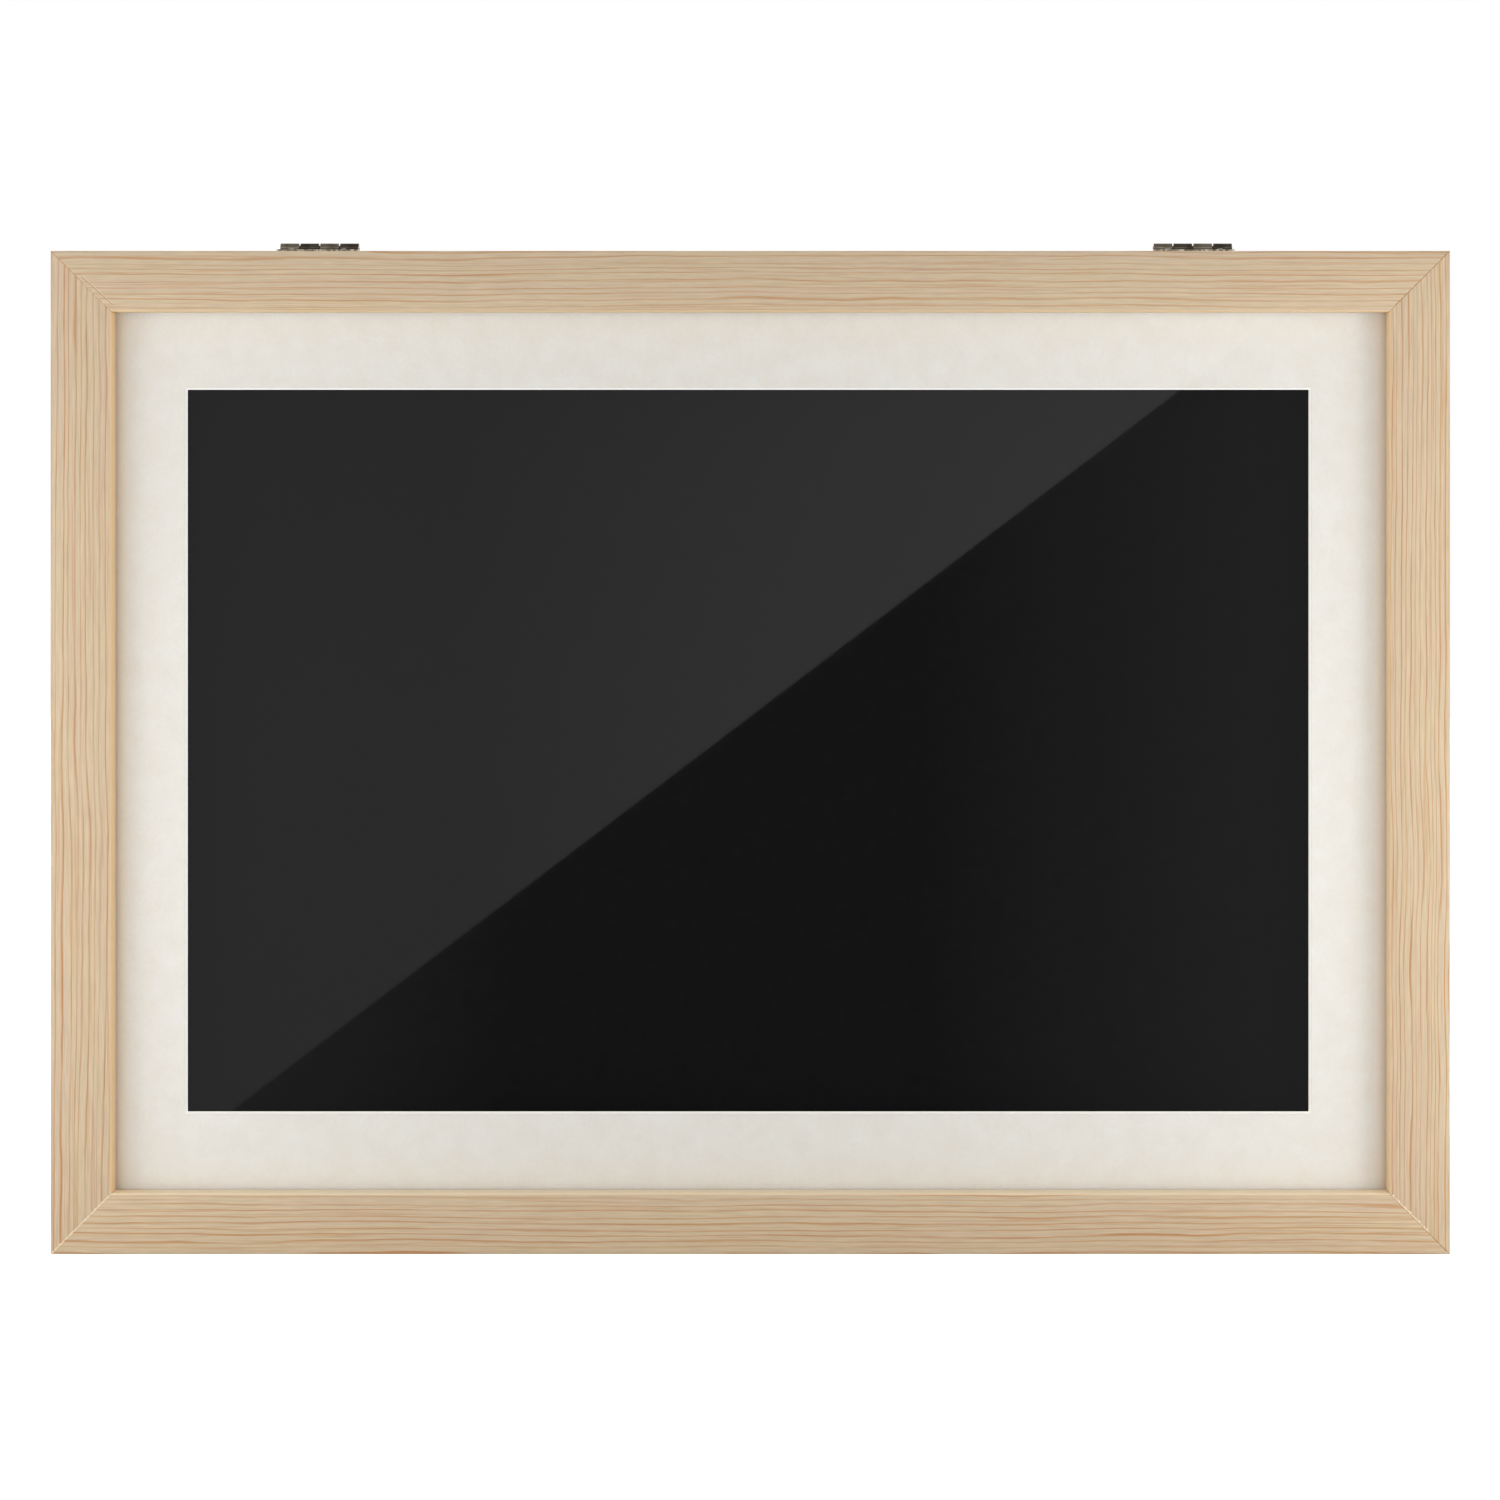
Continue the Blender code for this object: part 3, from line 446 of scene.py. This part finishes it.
# The cut faces forwards by about this share, and nothing else of the sheet is within its reach
BEVEL_FACING = 0.51
BEVEL_REACH = 0.2
# Painted warm shade, standing in for the light that the wood bounces onto the board: from here
# outwards, and from here down, though less
WARM_SHADE_SIDE = (0.2363, 0.2418)
WARM_SHADE_FOOT = (0.033, 0.023)
WARM_SHADE_FOOT_SHARE = 0.2


def mat_board():
    """Uncoated board: matt, with a faint tooth. Next to the wood it has a painted warm shade.

    The cut core is white. It glows a little as painted light, and is shaded as if it faced the front,
    so that it shows as a bright line.
    """
    made, tree = new_material("cream_mat_board")
    places = add(tree, "TexCoord")
    cloud = add(tree, "TexNoise", places.outputs["Object"], Scale=1 / MAT_CLOUD_SIZE, Detail=3)
    tooth = add(tree, "TexNoise", places.outputs["Object"], Scale=1 / TOOTH_SIZE, Detail=3)
    warm = add(tree, "MapRange", cloud, *MOST_NOISE)
    face = add(tree, "Mix", warm, linear(MAT_FACE), linear(MAT_FACE_WARM), data_type="RGBA")
    place = add(tree, "SeparateXYZ", places.outputs["Object"])
    aside = add(tree, "Math", place.outputs["X"], operation="ABSOLUTE")
    aside = add(tree, "MapRange", aside, *WARM_SHADE_SIDE)
    foot = add(tree, "MapRange", place.outputs["Z"], *WARM_SHADE_FOOT, 0, WARM_SHADE_FOOT_SHARE)
    # Painted warm shade near the side lips and above the foot
    warm_shade = add(tree, "Math", aside, foot, operation="MAXIMUM")
    face = add(tree, "Mix", warm_shade, face, linear(MAT_PAINTED_WARM_SHADE), data_type="RGBA")
    facing = add(tree, "SeparateXYZ", places.outputs["Normal"])
    facing = add(tree, "Math", facing.outputs["Y"], operation="ABSOLUTE")
    core = add(tree, "Math", facing, BEVEL_FACING, BEVEL_REACH, operation="COMPARE")
    colour = add(tree, "Mix", core, face, linear(MAT_CORE), data_type="RGBA")
    grain = add(tree, "MapRange", tooth, *ALL_NOISE, 0.97, 1.02)
    colour = add(tree, "Mix", 1, colour, grain, data_type="RGBA", blend_type="MULTIPLY")
    relief = add(tree, "Bump", Strength=0.3, Distance=0.05 * MM, Height=tooth)
    outwards = add(
        tree, "VectorTransform", (0, -1, 0), vector_type="NORMAL",
        convert_from="OBJECT", convert_to="WORLD",
    )
    nap = add(tree, "Mix", core, relief, outwards, data_type="VECTOR")
    # The core's painted glow
    glow = add(tree, "Math", core, CORE_PAINTED_GLOW, operation="MULTIPLY")
    shader = add(
        tree, "BsdfPrincipled", Base_Color=colour, Roughness=0.92, Specular_IOR_Level=0.25, Normal=nap,
        Emission_Color=linear(MAT_CORE), Emission_Strength=glow,
    )
    add(tree, "OutputMaterial", Surface=shader)
    return made


dress("window_mat", mat_board())

# Steel points. Stamped from zinc-plated strip and pressed flat into the wood behind each stack of
# sheets, where they are bent over by hand.
ZINC = "#B9BCBD"
ZINC_DULL = "#9A9EA0"
ZINC_ROUGHNESS = 0.34
ZINC_SPANGLE = 1.5 * MM


def plated_metal(name, bright, dull, roughness, spangle_size, metallic=1.0):
    """Plated metal. The coating's crystals show as soft patches, lighter and duller."""
    made, tree = new_material(name)
    places = add(tree, "TexCoord").outputs["Object"]
    spangle = add(tree, "TexNoise", places, Scale=1 / spangle_size, Detail=3)
    patch = add(tree, "MapRange", spangle, *MOST_NOISE)
    colour = add(tree, "Mix", patch, linear(bright), linear(dull), data_type="RGBA")
    rough = add(tree, "MapRange", spangle, *ALL_NOISE, roughness * 0.8, roughness * 1.3)
    relief = add(tree, "Bump", Strength=0.15, Distance=0.02 * MM, Height=spangle)
    shader = add(
        tree, "BsdfPrincipled", Base_Color=colour, Metallic=metallic, Roughness=rough, Normal=relief
    )
    add(tree, "OutputMaterial", Surface=shader)
    return made


zinc_plate = plated_metal("zinc_plated_steel", ZINC, ZINC_DULL, ZINC_ROUGHNESS, ZINC_SPANGLE)
for node_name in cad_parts:
    if "_point_" in node_name:
        dress(node_name, zinc_plate)

# Case rails. The same wrapped moulding with a plainer square section, glued up as the shallow case
# that the door closes on.
CASE_FOILS = {"top": 5, "bottom": 6, "left": 7, "right": 8}
for side, seed in CASE_FOILS.items():
    foil = grain_foil(
        f"softwood_print_foil_case_{side}", side, seed, RING_PITCH_MM, contrast=0.9, brightness=1.0,
        lip_painted_light=LIP_PAINTED_WARM, ends=[CLEAN_END, CLEAN_END],
    )
    dress(f"case_{side}_rail", foil)

# Corner fasteners. Wedges of spring steel bent to a V, pressed flush across each mitre from behind,
# two in every corner of the door and one in the narrower back of the case.
WEDGE_LEG = 4.6 * MM
WEDGE_LIP = 0.7 * MM
WEDGE_HALF_ANGLE = math.radians(38)
WEDGE_THICKNESS = 0.45 * MM
WEDGE_DEPTH = 6 * MM
WEDGE_PROUD = 0.06 * MM
DOOR_WEDGES = (5.0 * MM, 10.5 * MM)
CASE_WEDGES = (4.2 * MM,)


def wedge_mesh(name):
    """A V of steel strip with turned-out lips. Its point is at the origin, its top at z = 0."""
    along, aside = math.cos(WEDGE_HALF_ANGLE), math.sin(WEDGE_HALF_ANGLE)
    leg_end = Vector((along, aside)) * WEDGE_LEG
    leg = [leg_end, leg_end + Vector((-aside, along)) * WEDGE_LIP]
    line = [Vector((end.x, -end.y)) for end in reversed(leg)] + [Vector((0, 0))] + leg
    shell = bmesh.new()
    rows = []
    for index, point in enumerate(line):
        before = (point - line[index - 1]).normalized() if index else None
        after = (line[index + 1] - point).normalized() if index + 1 < len(line) else None
        way = ((before or after) + (after or before)).normalized()
        side = Vector((-way.y, way.x)) * WEDGE_THICKNESS / 2 / (way.dot(after or before))
        rows.append([shell.verts.new((*(point + side * sign), 0)) for sign in (1, -1)])
    faces = [
        shell.faces.new((first[0], first[1], second[1], second[0]))
        for first, second in zip(rows, rows[1:])
    ]
    return thickened(name, shell, faces, -WEDGE_DEPTH)


for body, back, insets in (
    ("door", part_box("door_left_rail")[1].y, DOOR_WEDGES),
    ("case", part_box("case_left_rail")[1].y, CASE_WEDGES),
):
    for corner, (across, up) in CORNERS.items():
        for number, inset in enumerate(insets, 1):
            name = f"{body}_wedge_{corner}_{number}"
            mesh = wedge_mesh(name)
            inwards = Vector((-across, 0, -up)).normalized()
            outwards = Vector((0, 1, 0))
            turn = Matrix((inwards, outwards.cross(inwards), outwards)).transposed().to_4x4()
            place = mitre_place(across, up) @ Vector((inset, 0, 0))
            place.y = back + WEDGE_PROUD
            mesh.transform(Matrix.Translation(place) @ turn)
            joined(name, mesh, zinc_plate, body)

# Tray insert and backing pad. Black foam board, die-cut, faced with uncoated black paper. The insert
# centres the sheets and the pad presses them forward.
BLACK_PAPER = "#08080A"
BLACK_PAPER_WORN = "#0D0D0F"
PAPER_CLOUD_SIZE = 4 * MM
PAPER_TOOTH_SIZE = 0.4 * MM
WORN_SHOWS = (0.35, 0.7)


def black_foam_board():
    """Black paper over foam: nearly no sheen, and a faint cloud of paper fibre."""
    made, tree = new_material("black_foam_board")
    places = add(tree, "TexCoord").outputs["Object"]
    cloud = add(tree, "TexNoise", places, Scale=1 / PAPER_CLOUD_SIZE, Detail=4)
    worn = add(tree, "MapRange", cloud, *WORN_SHOWS)
    colour = add(
        tree, "Mix", worn, linear(BLACK_PAPER), linear(BLACK_PAPER_WORN), data_type="RGBA"
    )
    tooth = add(tree, "TexNoise", places, Scale=1 / PAPER_TOOTH_SIZE, Detail=2)
    relief = add(tree, "Bump", Strength=0.4, Distance=0.05 * MM, Height=tooth)
    shader = add(
        tree, "BsdfPrincipled", Base_Color=colour, Roughness=0.9, Specular_IOR_Level=0.05, Normal=relief
    )
    add(tree, "OutputMaterial", Surface=shader)
    return made


foam_board = black_foam_board()
for node_name in ("tray_insert", "backing_pad"):
    dress(node_name, foam_board)

# Back panel. A sheet of 3 mm hardboard, pressed from wood fibre and sawn to size. It lies in the
# case's rear rebate, where the steel points hold it.
HARDBOARD = "#8A6238"
HARDBOARD_DARK = "#7C5631"
HARDBOARD_FLECK = "#A67C4E"
HARDBOARD_CLOUD_SIZE = 14 * MM
HARDBOARD_FIBRE_SIZE = 1.6 * MM
FLECK_SHOWS = (0.54, 0.7, 0, 0.75)
HARDBOARD_ROUGHNESS = (0.5, 0.65)


def hardboard():
    """Pressed wood fibre: brown, cloudy, with short pale flecks and a dull burnished face."""
    made, tree = new_material("hardboard")
    places = add(tree, "TexCoord").outputs["Object"]
    cloud = add(tree, "TexNoise", places, Scale=1 / HARDBOARD_CLOUD_SIZE, Detail=5)
    dark = add(tree, "MapRange", cloud, *ALL_NOISE)
    colour = add(tree, "Mix", dark, linear(HARDBOARD), linear(HARDBOARD_DARK), data_type="RGBA")
    fibres = add(
        tree, "TexNoise", places, Scale=1 / HARDBOARD_FIBRE_SIZE, Detail=4, Distortion=1.5
    )
    fleck = add(tree, "MapRange", fibres, *FLECK_SHOWS)
    colour = add(tree, "Mix", fleck, colour, linear(HARDBOARD_FLECK), data_type="RGBA")
    relief = add(tree, "Bump", Strength=0.3, Distance=0.06 * MM, Height=fibres)
    rough = add(tree, "MapRange", cloud, *ALL_NOISE, *HARDBOARD_ROUGHNESS)
    shader = add(tree, "BsdfPrincipled", Base_Color=colour, Roughness=rough, Normal=relief)
    add(tree, "OutputMaterial", Surface=shader)
    return made


dress("back_panel", hardboard())

# Door catch. Nickel-plated magnets pressed into the case's bottom rail and zinc-plated steel discs in
# the door's, which meet when the door shuts.
NICKEL = "#CFCBC3"
NICKEL_DULL = "#B5B1A8"
NICKEL_ROUGHNESS = 0.2
NICKEL_SPANGLE = 2.5 * MM
nickel = plated_metal("nickel_plate", NICKEL, NICKEL_DULL, NICKEL_ROUGHNESS, NICKEL_SPANGLE)
for hand in ("left", "right"):
    dress(f"magnet_{hand}", nickel)
    dress(f"strike_{hand}", zinc_plate)

# Hinges. Small butt hinges of bronzed steel strip, their tabs rolled round a steel pin. The leaves are
# screwed down on the top edges with nickel-plated countersunk screws.
LEAF_ARRIS = 0.14 * MM
SCREW_ARRIS = 0.06 * MM
BRONZE_PATCH_SIZE = 4 * MM
BRONZE_ROUGHNESS = (0.2, 0.32)
# The front leaf's bronze is lighter than that of the back leaf and the pin
BRONZES = {"front": ("#A49885", "#7E7362"), "back": ("#6C6458", "#534C40")}
# Sheared faces look this far to the side, or on a flat leaf this little upwards
SHEARED_SIDEWAYS = 0.7
SHEARED_UPWARDS = 0.4
# Sheared edges in patches of bare steel, painted near white as glints
BARE_STEEL_GLINT = "#F4EBDD"
GLINT_PATCH_SIZE = 1.6 * MM
GLINT_SHOWS = (0.47, 0.62)
# The screws are half mirror nickel and half a near white diffuse coat, a painted glint, so that they
# stay light from every side
SCREW_PAINTED_GLINT = "#F6F4EE"
SCREW_PAINTED_GLINT_DIM = "#DEDBD2"
SCREW_METALLIC = 0.45
# The knuckles lie within this distance of the pin's axis
BARREL_REACH = 2.4 * MM
pin_low, pin_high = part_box("hinge_left_pin")
PIN_AXIS = (pin_low + pin_high) / 2


def bronzed_strip(name, bright, dark):
    """Bronzed steel. Where the strip was sheared, at its edges and the knuckles' ends, it shows bare
    steel in patches, near white as painted glints.
    """
    made, tree = new_material(name)
    places = add(tree, "TexCoord")
    patch = add(tree, "TexNoise", places.outputs["Object"], Scale=1 / BRONZE_PATCH_SIZE, Detail=3)
    worn = add(tree, "MapRange", patch, *MOST_NOISE)
    colour = add(tree, "Mix", worn, linear(bright), linear(dark), data_type="RGBA")
    facing = add(tree, "VectorMath", places.outputs["Normal"], operation="ABSOLUTE")
    facing = add(tree, "SeparateXYZ", facing)
    sideways = add(tree, "Math", facing.outputs["X"], SHEARED_SIDEWAYS, operation="GREATER_THAN")
    upright = add(tree, "Math", facing.outputs["Z"], SHEARED_UPWARDS, operation="LESS_THAN")
    around = add(tree, "VectorMath", places.outputs["Object"], (0, *PIN_AXIS.yz), operation="SUBTRACT")
    around = add(tree, "VectorMath", around, (0, 1, 1), operation="MULTIPLY")
    away = add(tree, "VectorMath", around, operation="LENGTH")
    flat = add(tree, "Math", away.outputs["Value"], BARREL_REACH, operation="GREATER_THAN")
    edge = add(tree, "Math", upright, flat, operation="MULTIPLY")
    edge = add(tree, "Math", edge, sideways, operation="MAXIMUM")
    smear = add(tree, "TexNoise", places.outputs["Object"], Scale=1 / GLINT_PATCH_SIZE, Detail=2)
    bare_glint = add(tree, "MapRange", smear, *GLINT_SHOWS)
    edge = add(tree, "Math", edge, bare_glint, operation="MULTIPLY")
    colour = add(tree, "Mix", edge, colour, linear(BARE_STEEL_GLINT), data_type="RGBA")
    rough = add(tree, "MapRange", patch, *ALL_NOISE, *BRONZE_ROUGHNESS)
    relief = add(tree, "Bump", Strength=0.2, Distance=0.02 * MM, Height=smear)
    shader = add(
        tree, "BsdfPrincipled", Base_Color=colour, Metallic=1.0, Roughness=rough, Normal=relief
    )
    add(tree, "OutputMaterial", Surface=shader)
    return made


bronzed = {
    leaf: bronzed_strip(f"bronzed_steel_{leaf}", *shades) for leaf, shades in BRONZES.items()
}
# Screw heads with painted glints
screw_plate = plated_metal(
    "nickel_plate_painted_glint", SCREW_PAINTED_GLINT, SCREW_PAINTED_GLINT_DIM, NICKEL_ROUGHNESS, NICKEL_SPANGLE, SCREW_METALLIC
)
for node_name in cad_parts:
    if node_name.startswith("hinge_"):
        if "_screw_" in node_name:
            dress(node_name, screw_plate, SCREW_ARRIS)
        else:
            bronze = bronzed["front" if "front" in node_name else "back"]
            dress(node_name, bronze, LEAF_ARRIS)

# Hangers. Sawtooth strips of brass-plated steel, stamped and pressed into a low bridge, each nailed to
# the back of the case's top rail with two zinc-plated nails.
BRASS = "#D9B36A"
BRASS_DULL = "#CBA258"
BRASS_ROUGHNESS = 0.26
BRASS_SPANGLE = 7 * MM
brass = plated_metal("brass_plated_steel", BRASS, BRASS_DULL, BRASS_ROUGHNESS, BRASS_SPANGLE)
for hand in ("left", "right"):
    dress(f"hanger_{hand}", brass)
    for number in (1, 2):
        dress(f"hanger_{hand}_nail_{number}", zinc_plate)

# Wall bumpers. Discs punched from grey wool felt, glued to the back of the side rails at their foot,
# so that the frame hangs upright and doesn't mark the wall.
FELT = "#8B8B88"
FELT_DARK = "#63635F"
FELT_TANGLE_SIZE = 0.35 * MM


def wool_felt():
    """Pressed wool: matt, tangled light and dark fibre."""
    made, tree = new_material("grey_wool_felt")
    places = add(tree, "TexCoord").outputs["Object"]
    tangle = add(tree, "TexNoise", places, Scale=1 / FELT_TANGLE_SIZE, Detail=4, Distortion=2)
    light = add(tree, "MapRange", tangle, *MOST_NOISE)
    colour = add(tree, "Mix", light, linear(FELT_DARK), linear(FELT), data_type="RGBA")
    relief = add(tree, "Bump", Strength=0.8, Distance=0.2 * MM, Height=tangle)
    shader = add(
        tree, "BsdfPrincipled", Base_Color=colour, Roughness=0.95, Sheen_Weight=0.3, Normal=relief
    )
    add(tree, "OutputMaterial", Surface=shader)
    return made


felt = wool_felt()
for hand in ("left", "right"):
    dress(f"wall_bumper_{hand}", felt)

# Camera. It stands square to the frame, above and right of its middle, and is shifted back to it, so
# that more of the lip shows at the foot and the left than at the top and the right.
SENSOR_MM = 36
VIEW_WIDTH = 0.5679
VIEW_DISTANCE = 1.55
VIEW_CENTRE = Vector((-0.0001, OUTER_LOW.y, 0.1910))
SHIFT = Vector((-0.08, -0.16))
camera = placed("camera", bpy.data.cameras.new("camera"))
camera.data.sensor_width = SENSOR_MM
camera.data.lens = SENSOR_MM * VIEW_DISTANCE / VIEW_WIDTH
camera.data.shift_x, camera.data.shift_y = SHIFT
off_centre = -SHIFT * VIEW_WIDTH
camera.location = VIEW_CENTRE + Vector((off_centre.x, -VIEW_DISTANCE, off_centre.y))
camera.rotation_euler = (math.radians(90), 0, 0)
bpy.context.scene.camera = camera

# Studio. A pale floor and backdrop that the lens sees as white, a pale room that fills the shade, soft
# boxes at both sides in front, one above and one behind.
FLOOR_SIZE = 8
FLOOR_COLOUR = "#EDEDED"
FLOOR_GLOW = 0.85
FILL = 0.43
WHITE = (1, 1, 1, 1)
BOX_Y = -0.42
BOX_HEIGHT = 0.13
# How far to the side each pair stands, how high, how wide it is, and its power at each side
BOXES = {
    "inner_lower": (0.27, 0.075, 0.2, {"left": 0.23, "right": 0.22}),
    "inner_upper": (0.27, 0.31, 0.2, {"left": 0.23, "right": 0.22}),
    "middle_lower": (0.6, 0.075, 0.3, {"left": 0.44, "right": 0.63}),
    "middle_upper": (0.6, 0.31, 0.3, {"left": 0.46, "right": 0.63}),
    "outer_lower": (1.1, 0.075, 0.5, {"left": 2.1, "right": 2.1}),
}
FRONT_SIZE = (0.6, 0.6)
FRONT_POWER = 0.78
FRONT_PLACE = Vector((0, -1.3, 0.25))
TOP_SIZE = (1.4, 0.2)
TOP_POWER = 4.2
TOP_PLACE = Vector((0, 0.1, 1.25))
REAR_SIZE = (1.2, 1.2)
REAR_POWER = 9
REAR_PLACE = Vector((0, 1.1, 0.9))


def seen_directly(tree):
    """1 for rays that show the background itself: the lens's, and those off or through glass."""
    rays = add(tree, "LightPath").outputs
    seen = add(tree, "Math", rays["Is Camera Ray"], rays["Is Glossy Ray"], operation="MAXIMUM")
    return add(tree, "Math", seen, rays["Is Transmission Ray"], operation="MAXIMUM")


world = bpy.data.worlds.new("backdrop")
bpy.context.scene.world = world
world.use_nodes = True
tree = world.node_tree
tree.nodes.clear()
level = add(tree, "MapRange", seen_directly(tree), 0, 1, FILL, 1)
add(tree, "OutputWorld", Surface=add(tree, "Background", WHITE, level))

floor_mesh = bpy.data.meshes.new("floor")
shell = bmesh.new()
bmesh.ops.create_grid(shell, size=FLOOR_SIZE / 2)
shell.to_mesh(floor_mesh)
shell.free()
floor = placed("floor", floor_mesh)
pale, tree = new_material("pale_floor")
glow = add(tree, "Math", seen_directly(tree), FLOOR_GLOW, operation="MULTIPLY")
lit = add(tree, "BsdfDiffuse", linear(FLOOR_COLOUR))
shine = add(tree, "Emission", WHITE, glow)
add(tree, "OutputMaterial", Surface=add(tree, "AddShader", lit, shine))
floor_mesh.materials.append(pale)
floor.visible_glossy = False

# Reflection cards. A dark flag in front of the frame keeps the glazing clear, and a grey card with a
# slanted edge gives it one broad sheen. Only reflections see them.
FLAG_Y = -1.25
CARD_Y = -1.2
# Of each card: its lowest and highest brightness, between which places it rises, and its fall, which
# takes two heights and the share of the brightness that is left at each
LEVEL_FALL = (0, 1, 1, 1)
EVEN = (-1, 1)
FLAG_LOW = Vector((-1.5, FLAG_Y, -1.0))
FLAG_HIGH = Vector((1.5, FLAG_Y, 0.45))
FLAG_LEVEL = (0.06, 0.21)
FLAG_MIDDLE = -0.06
FLAG_RISE = (0.14, 0.40)
WALL_TOP = 1.7
WALL_LEVEL = (0.9, 0.9)
WALL_FALL = (0.8, 1.4, 1, 0.12)
CEILING_LEVEL = (0.36, 0.36)
CEILING_STRETCH = 2
CARD_LEVEL = (0.345, 0.53)
CARD_RISE = (-0.234, 0.199)
CARD_FALL = (0.155, 0.355, 1, 0.93)
# Two points of the sheen's slanted edge, where it shows on the frame, and how far the card overruns
SHEEN_HIGH = Vector((0.1627, OUTER_LOW.y, 0.3273))
SHEEN_LOW = Vector((-0.1970, OUTER_LOW.y, 0.05395))
SHEEN_OVERRUN = 0.35


def reflected(point, plane_y):
    """Where the camera's line through a point, turned back by the glazing, meets an upright plane."""
    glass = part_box("glazing_sheet")[0].y
    line = point - camera.location
    met = camera.location + line * (glass - camera.location.y) / line.y
    back = Vector((line.x, -line.y, line.z))
    return met + back * (plane_y - glass) / back.y


def upright_corners(low, high):
    """The four corners of an upright card, from its lowest and its highest."""
    return [low, Vector((high.x, low.y, low.z)), high, Vector((low.x, low.y, high.z))]


def reflection_card(name, corners, levels, rise, fall, middle=None):
    """A card that only reflections see. It brightens to the right, or out from middle both ways."""
    mesh = bpy.data.meshes.new(name)
    mesh.from_pydata(corners, [], [range(len(corners))])
    card = placed(name, mesh)
    paint, tree = new_material(name)
    place = add(tree, "SeparateXYZ", add(tree, "TexCoord").outputs["Object"])
    across = place.outputs["X"]
    if middle is not None:
        across = add(tree, "Math", across, middle, operation="SUBTRACT")
        across = add(tree, "Math", across, operation="ABSOLUTE")
    level = add(tree, "MapRange", across, *rise, *levels)
    kept = add(tree, "MapRange", place.outputs["Z"], *fall)
    level = add(tree, "Math", level, kept, operation="MULTIPLY")
    add(tree, "OutputMaterial", Surface=add(tree, "Emission", WHITE, level))
    mesh.materials.append(paint)
    card.visible_camera = False
    card.visible_diffuse = False
    card.visible_transmission = False
    card.visible_shadow = False


flag = upright_corners(FLAG_LOW, FLAG_HIGH)
reflection_card("dark_flag", flag, FLAG_LEVEL, FLAG_RISE, LEVEL_FALL, FLAG_MIDDLE)
wall_low = Vector((FLAG_LOW.x, FLAG_Y, FLAG_HIGH.z))
wall = upright_corners(wall_low, Vector((FLAG_HIGH.x, FLAG_Y, WALL_TOP)))
reflection_card("front_wall", wall, WALL_LEVEL, EVEN, WALL_FALL)
ceiling = [
    Vector((corner.x, FLAG_Y + (corner.z - FLAG_HIGH.z) * CEILING_STRETCH, WALL_TOP))
    for corner in wall
]
reflection_card("ceiling", ceiling, CEILING_LEVEL, EVEN, LEVEL_FALL)
card_high = reflected(SHEEN_HIGH, CARD_Y)
card_low = reflected(SHEEN_LOW, CARD_Y)
slant = (card_high - card_low).normalized() * SHEEN_OVERRUN
card_high += slant
card_low -= slant
card = [card_low, card_high, Vector((card_low.x, CARD_Y, card_high.z))]
reflection_card("sheen_card", card, CARD_LEVEL, CARD_RISE, CARD_FALL)


def soft_box(name, size, power, place, direction):
    """A soft box. The glazing would mirror it, so reflections don't see it."""
    box = bpy.data.lights.new(name, "AREA")
    box.shape = "RECTANGLE"
    box.size, box.size_y = size
    box.energy = power
    lamp = placed(name, box)
    lamp.location = place
    lamp.rotation_euler = direction.to_track_quat("-Z", "Y").to_euler()
    lamp.visible_glossy = False
    lamp.visible_camera = False


for hand, across in (("left", -1), ("right", 1)):
    for part, (aside, box_z, width, power) in BOXES.items():
        place = Vector((across * aside, BOX_Y, box_z))
        size = (width, BOX_HEIGHT)
        soft_box(f"soft_box_{hand}_{part}", size, power[hand], place, Vector((0, 1, 0)))
soft_box("soft_box_front", FRONT_SIZE, FRONT_POWER, FRONT_PLACE, Vector((0, 1, 0)))
soft_box("soft_box_top", TOP_SIZE, TOP_POWER, TOP_PLACE, Vector((0, 0, -1)))
soft_box("soft_box_rear", REAR_SIZE, REAR_POWER, REAR_PLACE, VIEW_CENTRE - REAR_PLACE)

bpy.context.scene.view_settings.view_transform = "Standard"
